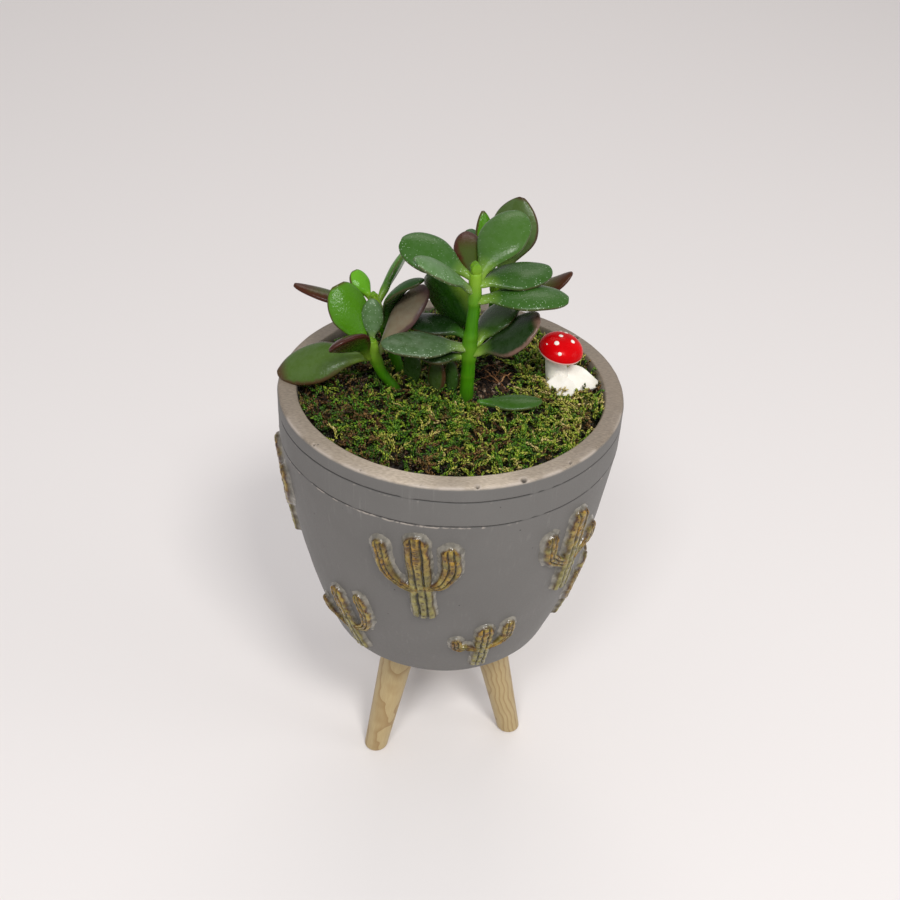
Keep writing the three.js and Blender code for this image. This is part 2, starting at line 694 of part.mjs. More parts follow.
function toadstoolCap() {
	const dome = Array.from({ length: CAP_STEPS }, (_, i) => {
		const a = i / CAP_STEPS * Math.PI / 2;
		return [CAP_RADIUS * Math.cos(a), CAP_BROW + (CAP_HEIGHT - CAP_BROW) * Math.sin(a)];
	});
	const cap = revolve([...CAP_UNDERSIDE, ...dome, [0, CAP_HEIGHT]], TOADSTOOL.sides);
	cap.rotateX(CAP_TILT);
	cap.translate(...toadstoolCentre(CAP_Z), CAP_Z);
	return cap;
}

function moss() {
	const [bottom, top] = [SOIL_TOP - CUT_BELOW, MOSS_TOP + CUT_ABOVE];
	const stemHoles = Object.values(STEMS).map((points) => {
		return stemBar(points, bottom, top, STEM_HOLE_GAP, STEM_STEPS);
	});
	const sproutHoles = SPROUTS.map(([, x, y]) => {
		const ends = [new THREE.Vector3(x, y, bottom), new THREE.Vector3(x, y, top)];
		return bar(...ends, SPROUT_HOLE, SPROUT_HOLE, SPROUT_HOLE_SIDES);
	});
	const cuts = [...stemHoles, ...sproutHoles, toadstoolFoot(GAP), barePatch()];
	let solid = toManifold(mossDisc());
	for (const cut of cuts) {
		solid = solid.subtract(toManifold(cut));
	}
	return fromManifold(solid);
}

function sprout([, x, y, azimuth, rise, bend, length, width]) {
	const seat = new THREE.Vector3(x, y, SPROUT_FOOT);
	const thickness = SPROUT_THICKNESS;
	return blade({ seat, azimuth, rise, bend, length, width, thickness, stations: SPROUT_STATIONS });
}

function fallenLeaf() {
	return blade({ seat: new THREE.Vector3(...FALLEN_SEAT), ...FALLEN });
}

function surface(color, roughness) {
	return new THREE.MeshStandardMaterial({ color, roughness });
}

const plant = new THREE.Group();

function place(name, geometry, material) {
	const mesh = new THREE.Mesh(geometry, material);
	mesh.name = name;
	plant.add(mesh);
}

place('pot', pot(), surface(0x787572, 0.7));
for (const [i, azimuth] of LEG_AZIMUTHS.entries()) {
	place(`leg_${i + 1}`, leg(azimuth), surface(0xc8af78, 0.6));
}
place('soil', soil(), surface(0x2c211b, 0.95));
place('moss', moss(), surface(0x6f7a2c, 0.95));
for (const [name, points] of Object.entries(STEMS)) {
	place(`stem_${name}`, stem(points), surface(0x4f8a12, 0.5));
}
for (const row of LEAVES) {
	place(row[0], leafOnStem(row), surface(GREENS[row[11]], 0.4));
}
for (const row of SPROUTS) {
	place(row[0], sprout(row), surface(GREENS[row[8]], 0.5));
}
place('fallen_leaf', fallenLeaf(), surface(GREENS.mid, 0.4));
place('toadstool_foot', toadstoolFoot(), surface(0xf1efe6, 0.6));
place('toadstool_cap', toadstoolCap(), surface(0xc9040a, 0.25));

export default plant;
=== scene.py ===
"""Looks of the potted crassula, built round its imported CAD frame.

Sizes are in millimetres until a mesh is made, which is in metres. +Z is up, the ground is z = 0, the pot's
axis is x = y = 0, and an azimuth of 0 degrees points along -Y, the front, and 90 degrees along +X.
"""

import logging
import math
from collections.abc import Callable
from dataclasses import dataclass
from enum import Enum
from functools import partial, reduce
from typing import ClassVar

import bpy
import numpy as np
from mathutils import Matrix


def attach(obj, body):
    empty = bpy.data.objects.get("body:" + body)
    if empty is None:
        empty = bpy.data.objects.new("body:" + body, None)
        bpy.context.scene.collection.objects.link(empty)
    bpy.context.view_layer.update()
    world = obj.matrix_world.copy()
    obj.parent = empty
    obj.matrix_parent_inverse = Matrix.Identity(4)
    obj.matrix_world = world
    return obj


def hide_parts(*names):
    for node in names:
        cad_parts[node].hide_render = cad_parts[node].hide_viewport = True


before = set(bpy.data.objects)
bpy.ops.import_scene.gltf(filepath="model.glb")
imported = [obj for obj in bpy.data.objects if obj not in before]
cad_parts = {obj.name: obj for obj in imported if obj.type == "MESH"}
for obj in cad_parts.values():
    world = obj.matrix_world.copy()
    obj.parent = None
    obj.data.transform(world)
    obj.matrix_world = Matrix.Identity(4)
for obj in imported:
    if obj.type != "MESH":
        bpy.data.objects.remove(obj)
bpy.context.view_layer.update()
LOG = logging.getLogger("crassula")
MM = 0.001
TURN = 2 * math.pi
GROUND_TO_RIM = 163.8
POT_HEIGHT = 100.0
POT_BOTTOM = GROUND_TO_RIM - POT_HEIGHT
SOIL_TOP = 156.4
MOSS_TOP = 160.5
X_AXIS, Y_AXIS, Z_AXIS = np.eye(3)
RGBA = {"out": 2, "data_type": "RGBA"}

Array = np.ndarray
Marks = dict[str, Array]
Row = tuple[float, ...]
Adder = Callable[..., bpy.types.NodeSocket]


# ---------------------------------------------------------------- numbers and meshes


def linear(code: str) -> tuple[float, float, float, float]:
    """Linear colour of an sRGB hex code such as "787572"."""
    parts = [int(code[i : i + 2], 16) / 255 for i in (0, 2, 4)]
    return (*(p / 12.92 if p <= 0.04045 else ((p + 0.055) / 1.055) ** 2.4 for p in parts), 1.0)


def smooth(x: Array, low: float, high: float) -> Array:
    """Rises from 0 at low to 1 at high as a cubic with level ends."""
    t = np.clip((np.asarray(x, float) - low) / (high - low), 0, 1)
    return t * t * (3 - 2 * t)


def bell(x: Array, width: float) -> Array:
    """A bell curve: 1 at 0 and 1/e at the width."""
    return np.exp(-((x / width) ** 2))


def heading(azimuth: Array, rise: Array = 0.0) -> Array:
    """Unit vectors of azimuths and rises in degrees, along the last axis."""
    a, e = np.radians(azimuth), np.radians(rise)
    return np.stack(np.broadcast_arrays(np.sin(a) * np.cos(e), -np.cos(a) * np.cos(e), np.sin(e)), axis=-1)


def unit(vectors: Array) -> Array:
    """Vectors of length 1."""
    return vectors / np.maximum(np.linalg.norm(vectors, axis=-1, keepdims=True), 1e-12)


def pairs(x: Array, y: Array) -> Array:
    """Positions [x, y] along a new last axis."""
    return np.stack([x, y], -1)


def ripple(points: Array, size: float, seed: int, waves: int = 9) -> Array:
    """Smooth random field with lumps of one size: a sum of sine waves with random directions and phases.

    Args:
        points: positions along the last axis, in mm.
        size: wavelength in mm.
        seed: seed of the directions and phases.
        waves: how many waves are added.

    Returns:
        One value for each point, mostly between -1 and 1.
    """
    dice = np.random.default_rng(seed)
    directions = unit(dice.normal(size=(waves, points.shape[-1])))
    lengths = size * dice.uniform(0.7, 1.5, waves)
    phases = dice.uniform(0, TURN, waves)
    angles = points @ (directions * (TURN / lengths)[:, None]).T + phases
    return np.sin(angles).sum(axis=-1) / math.sqrt(waves) / 1.2


def curve_through(points: Array, steps: int) -> Array:
    """Points on a Catmull-Rom curve through given points, evenly spaced in its parameter.

    Args:
        points: the points that the curve passes, as rows of any width.
        steps: how many points are returned.

    Returns:
        The rows of the curve.
    """
    p = np.asarray(points, float)
    p = np.vstack([2 * p[0] - p[1], p, 2 * p[-1] - p[-2]])
    t = np.linspace(0, len(p) - 3 - 1e-9, steps)
    i = t.astype(int)
    f = (t - i)[:, None]
    a, b, c, d = p[i], p[i + 1], p[i + 2], p[i + 3]
    return 0.5 * (2 * b + (c - a) * f + (2 * a - 5 * b + 4 * c - d) * f**2 + (3 * b - a - 3 * c + d) * f**3)


@dataclass
class Shape:
    """A mesh in mm before it becomes a piece: points, faces and one row of values per point for each mark."""

    points: Array
    faces: list[list[int]]
    marks: Marks

    def joined(self, other: "Shape") -> "Shape":
        """This shape and another as one mesh.

        Args:
            other: a shape with the same marks.

        Returns:
            Both in one shape.
        """
        shift = len(self.points)
        faces = self.faces + [[i + shift for i in face] for face in other.faces]
        marks = {name: np.concatenate([values, other.marks[name]]) for name, values in self.marks.items()}
        return Shape(np.vstack([self.points, other.points]), faces, marks)


def outward(points: Array, faces: list[list[int]]) -> list[list[int]]:
    """Closed faces, all turned over where the volume within them, summed from the origin, is negative.

    Args:
        points: positions, with xyz last.
        faces: the numbers of each face's corners.

    Returns:
        The faces, pointing outwards.
    """
    corners = np.array([[f[0], f[k], f[k + 1]] for f in faces for k in range(1, len(f) - 1)])
    a, b, c = points[corners[:, 0]], points[corners[:, 1]], points[corners[:, 2]]
    inside_out = np.einsum("ij,ij->i", a, np.cross(b, c)).sum() < 0
    return [face[::-1] for face in faces] if inside_out else faces


def tubes(rings: Array, marks: Marks | None = None) -> Shape:
    """Closed tubes from rings of points; each end is closed by a fan round the middle of its ring.

    Args:
        rings: positions as tube, ring, point of the ring, xyz; the first may be left out for a single tube.
        marks: for each mark an array that spreads over tube, ring and point of the ring.

    Returns:
        All tubes in one shape, with faces that point outwards.
    """
    rings = rings.reshape(-1, *rings.shape[-3:])
    count, n, m, _ = rings.shape
    points = np.concatenate([rings.reshape(count, n * m, 3), rings[:, [0, -1]].mean(axis=2)], axis=1)
    i, j = np.meshgrid(np.arange(n - 1), np.arange(m), indexing="ij")
    a, b = (i * m + j).ravel(), (i * m + (j + 1) % m).ravel()
    quads = np.stack([a, b, b + m, a + m], axis=1)
    j, last = np.arange(m), (n - 1) * m
    start = np.stack([(j + 1) % m, j, np.full(m, n * m)], axis=1)
    end = np.stack([last + j, last + (j + 1) % m, np.full(m, n * m + 1)], axis=1)
    offsets = (np.arange(count) * (n * m + 2))[:, None, None]
    faces = (quads + offsets).reshape(-1, 4).tolist()
    faces += (np.concatenate([start, end]) + offsets).reshape(-1, 3).tolist()
    flat = points.reshape(-1, 3)
    values = {}
    for name, spread in (marks or {}).items():
        full = np.broadcast_to(spread, (count, n, m))
        values[name] = np.concatenate([full.reshape(count, n * m), full[:, [0, -1]].mean(axis=2)], axis=1).ravel()
    return Shape(flat, outward(flat, faces), values)


def around(
    centres: Array, half: Array, thick: Array, sides: int, across: Array = X_AXIS, up: Array = Y_AXIS
) -> Array:
    """Elliptic rings round points.

    Args:
        centres: points with xyz last.
        half, thick: the ellipse's half sizes along across and up, one for each ring.
        sides: points in each ring.
        across, up: the two unit directions of the rings.

    Returns:
        Positions with the ring's points before xyz.
    """
    angle = np.arange(sides) / sides * TURN
    cos, sin = np.cos(angle)[:, None], np.sin(angle)[:, None]
    side = across[..., None, :] * (half[..., None, None] * cos)
    lift = up[..., None, :] * (thick[..., None, None] * sin)
    return centres[..., None, :] + side + lift


def slivers(corners: list[Array], marks: Marks) -> Shape:
    """Closed leaflets of four points each, with the keel from root to tip and both sides raised.

    Args:
        corners: roots, tips, left and right sides, each as leaflet, xyz.
        marks: for each mark one value per leaflet.

    Returns:
        All leaflets in one shape, with faces that point outwards.
    """
    points = np.stack(corners, 1).reshape(-1, 3)
    triangles = np.array([[0, 2, 1], [0, 1, 3], [0, 3, 2], [1, 2, 3]])
    faces = (triangles + 4 * np.arange(len(corners[0]))[:, None, None]).reshape(-1, 3).tolist()
    return Shape(points, outward(points, faces), {name: np.repeat(values, 4) for name, values in marks.items()})


# ---------------------------------------------------------------- finishes


def per_mm(size: float) -> float:
    """Texture scale, per metre, whose features are size mm wide."""
    return 1 / (size * MM)


def add_node(
    tree: bpy.types.NodeTree, kind: str, sockets: dict | None = None, out: int | str = 0, **settings: object
) -> bpy.types.NodeSocket | None:
    """Adds a shader node, sets its properties, and fills or links its input sockets.

    Args:
        tree: the material's node tree.
        kind: the node's type, less its prefix.
        sockets: input names or numbers, with a value, a hex colour or the socket that feeds them.
        out: the name or number of the wanted output.
        settings: property names and values.

    Returns:
        That output, if the node has any.
    """
    node = tree.nodes.new(f"ShaderNode{kind}")
    for name, value in settings.items():
        setattr(node, name, value)
    for key, value in (sockets or {}).items():
        if isinstance(value, bpy.types.NodeSocket):
            tree.links.new(value, node.inputs[key])
        else:
            node.inputs[key].default_value = linear(value) if isinstance(value, str) else value
    return node.outputs[out] if node.outputs else None


@dataclass(frozen=True)
class Finish:
    """Base of all finishes: a name and the steps that turn it into a material."""

    name: str

    def dress(self, add: Adder) -> dict:
        """The shader's inputs by name, each a value or a socket of the nodes that it adds."""
        raise NotImplementedError

    def material(self) -> bpy.types.Material:
        """The material of this finish, made once and kept under its name.

        Returns:
            The material.
        """
        known = bpy.data.materials.get(self.name)
        if known:
            return known
        made = bpy.data.materials.new(self.name)
        made.use_nodes = True
        made.node_tree.nodes.clear()
        add = partial(add_node, made.node_tree)
        add("OutputMaterial", {"Surface": add("BsdfPrincipled", self.dress(add))})
        return made


def piece(name: str, shape: Shape, finish: Finish, node: str = "") -> bpy.types.Object:
    """Makes a mesh object at the origin, dresses it and lets it ride on the root body.

    Args:
        name: the piece's name.
        shape: its mesh in mm.
        finish: what it is dressed in.
        node: the CAD node that it stands for, if any.

    Returns:
        The object.
    """
    mesh = bpy.data.meshes.new(name)
    mesh.from_pydata((shape.points * MM).tolist(), [], shape.faces)
    mesh.polygons.foreach_set("use_smooth", np.ones(len(mesh.polygons), bool))
    for mark, values in shape.marks.items():
        layer = mesh.attributes.new(mark, "FLOAT", "POINT")
        layer.data.foreach_set("value", np.asarray(values, np.float32))
    mesh.materials.append(finish.material())
    mesh.update()
    made = bpy.data.objects.new(name, mesh)
    bpy.context.scene.collection.objects.link(made)
    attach(made, "root")
    if node:
        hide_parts(node)
    LOG.info("%s: %d points", name, len(shape.points))
    return made


@dataclass(frozen=True)
class LeafSkin(Finish):
    """Waxy skin of a crassula leaf: a satin green cuticle with pale water pores, and a margin reddened by sun.

    Colours are sRGB hex codes. margin is the width of the reddened edge in mm, tip the share of the blade
    that is reddened from its end, and bloom the share of the whitish wax.
    """

    face: str
    deep: str
    neck: str
    back: str
    pores: float
    flush: str = "4a3a24"
    margin: float = 0.12
    tip: float = 0.01
    reddened: float = 0.6
    bloom: float = 0.03
    roughness: float = 0.27
    grain: float = 0.09

    def dress(self, add: Adder) -> dict:
        """Green mottled at 5 mm, paler at the neck, red at the margin; pores of 0.3 mm, 0.8 mm apart.

        Args:
            add: adds a node to the material's tree and gives its output.

        Returns:
            The shader's inputs by name.
        """
        place = add("TexCoord", out="Object")
        along, edge, upper, tone = (
            add("Attribute", out="Fac", attribute_name=mark) for mark in ("along", "edge", "upper", "tone")
        )
        patches = add("TexNoise", {"Vector": place, "Scale": per_mm(5), "Detail": 4.0})
        mottle = add("MapRange", {0: patches, 1: 0.36, 2: 0.64})
        green = add("Mix", {0: mottle, 6: self.deep, 7: self.face}, **RGBA)
        sided = add("Mix", {0: upper, 6: self.back, 7: green}, **RGBA)
        neck = add("MapRange", {0: along, 1: 0.0, 2: 0.24, 3: 1.0, 4: 0.0})
        plain = add("Mix", {0: neck, 6: sided, 7: self.neck}, **RGBA)
        # The mark tone darkens each leaf as a whole, away from its neck: partly its own depth of green, partly painted
        # shade for leaves that lie in the shade of others.
        dim = add("MapRange", {0: neck, 3: tone, 4: 0.8})
        paled = add("Mix", {0: 1.0, 6: plain, 7: dim}, blend_type="MULTIPLY", **RGBA)
        wax = add("TexNoise", {"Vector": place, "Scale": per_mm(2.2), "Detail": 5.0})
        dusty = add("MapRange", {0: wax, 1: 0.3, 2: 0.7, 3: 0.0, 4: self.bloom})
        bloomed = add("Mix", {0: dusty, 6: paled, 7: "a9bfa6"}, **RGBA)
        uneven = add("Math", {0: wax, 1: -2.0, 2: 1.0}, operation="MULTIPLY_ADD")
        inside = add("Math", {0: uneven, 1: self.margin, 2: edge}, operation="MULTIPLY_ADD")
        fade = {0: inside, 1: self.margin * 0.3, 2: self.margin * 1.6 + 0.05, 3: 1.0, 4: 0.0}
        margin = add("MapRange", fade, interpolation_type="SMOOTHSTEP")
        end = {0: along, 1: 1 - 1.5 * self.tip, 2: 1.0 - 0.3 * self.tip}
        red = add("Math", {0: margin, 1: add("MapRange", end, interpolation_type="SMOOTHSTEP")}, operation="MAXIMUM")
        sunned = add("MapRange", {0: along, 1: 0.12, 2: 0.45, 3: 0.1 * self.reddened, 4: self.reddened})
        some = add("Math", {0: red, 1: sunned}, operation="MULTIPLY")
        flushed = add("Mix", {0: some, 6: bloomed, 7: self.flush}, **RGBA)
        cells = add("TexVoronoi", {"Vector": place, "Scale": per_mm(0.8)})
        near = add("MapRange", {0: edge, 1: 0.3, 2: 4.0, 3: 1.2, 4: 0.7})
        reach = add("Math", {0: near, 1: self.pores}, operation="MULTIPLY")
        gap = add("Math", {0: reach, 1: cells}, operation="SUBTRACT")
        pore = add("MapRange", {0: gap, 1: 0.0, 2: 0.06, 3: 0.0, 4: 0.85})
        # The skin's own cells are too fine to show, so the grain is drawn as coarse as 0.9 mm.
        pebbles = add("TexNoise", {"Vector": place, "Scale": per_mm(0.9), "Detail": 2.0})
        return {
            "Base Color": add("Mix", {0: pore, 6: flushed, 7: "c4d6be"}, **RGBA),
            "Roughness": add("MapRange", {0: wax, 1: 0.3, 2: 0.7, 3: self.roughness - 0.04, 4: self.roughness + 0.06}),
            "Normal": add("Bump", {"Strength": 1.0, "Distance": self.grain * MM, "Height": pebbles}),
            "IOR": 1.4,
            "Specular IOR Level": 0.34,
        }


@dataclass(frozen=True)
class StemSkin(Finish):
    """Green succulent stem, smooth and slightly glossy: fresh green with paler lengthwise streaks and yellow nodes."""

    def dress(self, add: Adder) -> dict:
        """Streaks 0.8 mm wide and 8 mm long; the mark "node" turns the green yellow, "foot" darkens it.

        Args:
            add: adds a node to the material's tree and gives its output.

        Returns:
            The shader's inputs by name.
        """
        place = add("TexCoord", out="Object")
        node, foot = (add("Attribute", out="Fac", attribute_name=mark) for mark in ("node", "foot"))
        drawn = add("Mapping", {"Vector": place, "Scale": (1.0, 1.0, 0.1)})
        streaks = add("TexNoise", {"Vector": drawn, "Scale": per_mm(0.8), "Detail": 3.0})
        shade = add("MapRange", {0: streaks, 1: 0.3, 2: 0.7})
        green = add("Mix", {0: shade, 6: "377205", 7: "438207"}, **RGBA)
        noded = add("Mix", {0: node, 6: green, 7: "84a92e"}, **RGBA)
        return {
            "Base Color": add("Mix", {0: foot, 6: noded, 7: "2e4f10"}, **RGBA),
            "Normal": add("Bump", {"Strength": 0.8, "Distance": 0.1 * MM, "Height": streaks}),
            "Roughness": 0.4,
            "Specular IOR Level": 0.22,
            "Subsurface Weight": 0.1,
            "Subsurface Radius": (0.002, 0.003, 0.001),
            "Subsurface Scale": 0.5,
        }


@dataclass(frozen=True)
class CastConcrete(Finish):
    """Cast fine concrete, painted flat grey, with a sanded rim: the paint shows brush streaks, the rim its sand."""

    def dress(self, add: Adder) -> dict:
        """Marks: "rim" the sanded top, "buff" a painted highlight on its front, "line" the dark lines, "chip" their
        bare edges.

        Args:
            add: adds a node to the material's tree and gives its output.

        Returns:
            The shader's inputs by name.
        """
        place = add("TexCoord", out="Object")
        rim, line, chip, buff = (
            add("Attribute", out="Fac", attribute_name=mark) for mark in ("rim", "line", "chip", "buff")
        )
        clouds = add("TexNoise", {"Vector": place, "Scale": per_mm(22), "Detail": 5.0})
        grey = add("Mix", {0: clouds, 6: "605e5b", 7: "6b6966"}, **RGBA)
        drawn = add("Mapping", {"Vector": place, "Scale": (1.0, 1.0, 0.05)})
        streaks = add("TexNoise", {"Vector": drawn, "Scale": per_mm(1.1), "Detail": 3.0})
        patchy = add("TexNoise", {"Vector": place, "Scale": per_mm(14), "Detail": 2.0})
        fresh = add("MapRange", {0: streaks, 1: 0.58, 2: 0.74, 3: 0.0, 4: 0.3})
        where = add("MapRange", {0: patchy, 1: 0.48, 2: 0.66})
        streaked = add("Math", {0: fresh, 1: where}, operation="MULTIPLY")
        wall = add("Mix", {0: streaked, 6: grey, 7: "8a8783"}, **RGBA)
        turned = add("Mapping", {"Vector": place, "Rotation": (0, 0, 0.6), "Scale": (0.3, 1, 1)})
        sanding = add("TexNoise", {"Vector": turned, "Scale": per_mm(0.42), "Detail": 4.0})
        sanded = add("MapRange", {0: sanding, 1: 0.34, 2: 0.72})
        blotch = add("MapRange", {0: clouds, 1: 0.4, 2: 0.6})
        dust = add("Mix", {0: blotch, 6: "73685c", 7: "7a6e60"}, **RGBA)
        dull = add("Mix", {0: sanded, 6: dust, 7: "8d8171"}, **RGBA)
        # Painted highlight: where the mark buff is high, the rim's front is mixed towards these paler colours.
        pale = add("Mix", {0: sanded, 6: "ac9e8c", 7: "d0c1ad"}, **RGBA)
        top = add("Mix", {0: buff, 6: dull, 7: pale}, **RGBA)
        cells = add("TexVoronoi", {"Vector": place, "Scale": per_mm(7.5)})
        pit = add("MapRange", {0: cells, 1: 0.03, 2: 0.05, 3: 0.7, 4: 0.0})
        dark = add("Math", {0: line, 1: pit}, operation="MAXIMUM")
        colour = wall
        for share, layer in ((rim, top), (chip, "b8ada2"), (dark, "1a1614")):
            colour = add("Mix", {0: share, 6: colour, 7: layer}, **RGBA)
        grit = add("TexNoise", {"Vector": place, "Scale": per_mm(0.6), "Detail": 3.0})
        rough = add("Mix", {0: rim, 2: grit, 3: sanding}, data_type="FLOAT")
        return {
            "Base Color": colour,
            "Normal": add("Bump", {"Strength": 0.7, "Distance": 0.06 * MM, "Height": rough}),
            "Roughness": add("MapRange", {0: sanding, 1: 0.3, 2: 0.7, 3: 0.6, 4: 0.48}),
            "IOR": 1.5,
            "Specular IOR Level": 0.45,
        }


@dataclass(frozen=True)
class GoldGlaze(Finish):
    """Reactive glaze brushed over the cast figures: beige-gold ribs with rust, glassy grey where it ran off."""

    def dress(self, add: Adder) -> dict:
        """Marks: "groove" the ribs' grooves, "skirt" the grey edge, "rust" ochre, "burnt" brown glaze and a painted
        shadow line, "spine" dashes.

        Args:
            add: adds a node to the material's tree and gives its output.

        Returns:
            The shader's inputs by name.
        """
        place = add("TexCoord", out="Object")
        groove, skirt, rust, burnt, spine = (
            add("Attribute", out="Fac", attribute_name=mark) for mark in ("groove", "skirt", "rust", "burnt", "spine")
        )
        clouds = add("TexNoise", {"Vector": place, "Scale": per_mm(2.6), "Detail": 5.0})
        swirl = add("MapRange", {0: clouds, 1: 0.34, 2: 0.66})
        beige, ochre, film = (
            add("Mix", {0: swirl, 6: dark, 7: pale}, **RGBA)
            for dark, pale in (("524b22", "938a4c"), ("563a08", "a8801a"), ("5c5951", "8b867b"))
        )
        cells = add("TexVoronoi", {"Vector": place, "Scale": per_mm(1.3)})
        reach = add("MapRange", {0: rust, 1: 0.0, 2: 1.0, 3: 0.2, 4: 0.42})
        gap = add("Math", {0: reach, 1: cells}, operation="SUBTRACT")
        speck = add("MapRange", {0: gap, 1: 0.0, 2: 0.12, 3: 0.0, 4: 0.8})
        spotted = add("Math", {0: speck, 1: spine}, operation="MAXIMUM")
        colour = beige
        # burnt paints brown glaze on the limbs' outer sides and a painted shadow line where the crown meets the skirt.
        for share, layer in (
            (rust, ochre), (burnt, "3a1c08"), (spotted, "2a1004"), (skirt, film), (groove, "0a0704"),
        ):
            colour = add("Mix", {0: share, 6: colour, 7: layer}, **RGBA)
        fine = add("TexNoise", {"Vector": place, "Scale": per_mm(0.7), "Detail": 3.0})
        return {
            "Base Color": colour,
            "Normal": add("Bump", {"Strength": 0.9, "Distance": 0.1 * MM, "Height": fine}),
            "Roughness": 0.3,
            "Specular IOR Level": 0.3,
            "Coat Weight": 0.35,
            "Coat Roughness": 0.05,
        }


@dataclass(frozen=True)
class TurnedPine(Finish):
    """Turned and sanded pine, oiled: pale yellow wood with brown growth lines along the leg and a soft sheen."""

    def dress(self, add: Adder) -> dict:
        """Growth rings 2.1 mm apart round an axis beside the leg's, read from the leg's own coordinates.

        Args:
            add: adds a node to the material's tree and gives its output.

        Returns:
            The shader's inputs by name.
        """
        wood = add("Attribute", out="Vector", attribute_name="wood")
        bent = add("TexNoise", {"Vector": wood, "Scale": 0.07, "Detail": 2.0}, out="Color")
        shifted = add("VectorMath", {0: bent, 1: (6, 6, 0), 2: wood}, operation="MULTIPLY_ADD")
        waves = {"Vector": shifted, "Scale": 0.15, "Distortion": 0.6, "Detail": 2.0}
        rings = add("TexWave", waves, wave_type="RINGS", rings_direction="Z", wave_profile="SAW")
        late = add("MapRange", {0: rings, 1: 0.55, 2: 1.0, 3: 0.0, 4: 0.75})
        fibre = add("Mapping", {"Vector": wood, "Scale": (3.2, 3.2, 0.12)})
        fibres = add("TexNoise", {"Vector": fibre, "Scale": 1.0, "Detail": 4.0})
        pale = add("Mix", {0: fibres, 6: "a38a5d", 7: "b8a67c"}, **RGBA)
        return {
            "Base Color": add("Mix", {0: late, 6: pale, 7: "8a6a3c"}, **RGBA),
            "Normal": add("Bump", {"Strength": 0.5, "Distance": 0.08 * MM, "Height": fibres}),
            "Roughness": 0.46,
        }


@dataclass(frozen=True)
class Toned(Finish):
    """Dry or leafy matter in many strands or crumbs: each has its own tone, and painted shade makes it darker the
    deeper it lies.
    """

    tones: tuple[str, ...]
    roughness: float
    glint: float = 0.3

    def dress(self, add: Adder) -> dict:
        """Marks: "tone" picks the colour along the ramp, shifted by a noise of 1 mm, and "shade" darkens it towards
        near-black as painted shade.

        Args:
            add: adds a node to the material's tree and gives its output.

        Returns:
            The shader's inputs by name.
        """
        place = add("TexCoord", out="Object")
        tone, shade = (add("Attribute", out="Fac", attribute_name=mark) for mark in ("tone", "shade"))
        fine = add("TexNoise", {"Vector": place, "Scale": per_mm(1.0), "Detail": 2.0})
        shift = add("Math", {0: fine, 1: 0.3, 2: -0.15}, operation="MULTIPLY_ADD")
        ramp = add("ValToRGB", {"Fac": add("Math", {0: tone, 1: shift})})
        stops = ramp.node.color_ramp.elements
        stops[0].color, stops[1].color = linear(self.tones[0]), linear(self.tones[-1])
        for i, code in enumerate(self.tones[1:-1], start=1):
            stops.new(i / (len(self.tones) - 1)).color = linear(code)
        # The mark shade paints shade: the colour is mixed towards near-black where strands lie deep, with some darkness
        # of each strand's own.
        return {
            "Base Color": add("Mix", {0: shade, 6: ramp, 7: "060503"}, **RGBA),
            "Roughness": self.roughness,
            "Specular IOR Level": self.glint,
        }


@dataclass(frozen=True)
class Lacquer(Finish):
    """Sprayed gloss lacquer on a turned cap: deep red with a sharp gloss, and a pale unsprayed edge below."""

    def dress(self, add: Adder) -> dict:
        """The mark "bare" is 1 on the unsprayed edge; orange-peel waves of 1.6 mm.

        Args:
            add: adds a node to the material's tree and gives its output.

        Returns:
            The shader's inputs by name.
        """
        place = add("TexCoord", out="Object")
        bare = add("Attribute", out="Fac", attribute_name="bare")
        depth = add("TexNoise", {"Vector": place, "Scale": per_mm(6), "Detail": 2.0})
        red = add("Mix", {0: depth, 6: "b00208", 7: "e6060e"}, **RGBA)
        peel = add("TexNoise", {"Vector": place, "Scale": per_mm(1.6), "Detail": 1.0})
        return {
            "Base Color": add("Mix", {0: bare, 6: red, 7: "f0c8c0"}, **RGBA),
            "Normal": add("Bump", {"Strength": 0.5, "Distance": 0.05 * MM, "Height": peel}),
            "Roughness": 0.2,
            "Specular IOR Level": 0.06,
        }


@dataclass(frozen=True)
class Plaster(Finish):
    """Moulded white plaster, matte and chalky, with faint cream clouds."""

    def dress(self, add: Adder) -> dict:
        """Cream clouds of 3 mm and a chalky grit of 0.8 mm.

        Args:
            add: adds a node to the material's tree and gives its output.

        Returns:
            The shader's inputs by name.
        """
        place = add("TexCoord", out="Object")
        clouds = add("TexNoise", {"Vector": place, "Scale": per_mm(3), "Detail": 4.0})
        grit = add("TexNoise", {"Vector": place, "Scale": per_mm(0.8), "Detail": 3.0})
        return {
            "Base Color": add("Mix", {0: clouds, 6: "e2ddcd", 7: "f6f4ee"}, **RGBA),
            "Normal": add("Bump", {"Strength": 0.8, "Distance": 0.12 * MM, "Height": grit}),
            "Roughness": 0.62,
        }


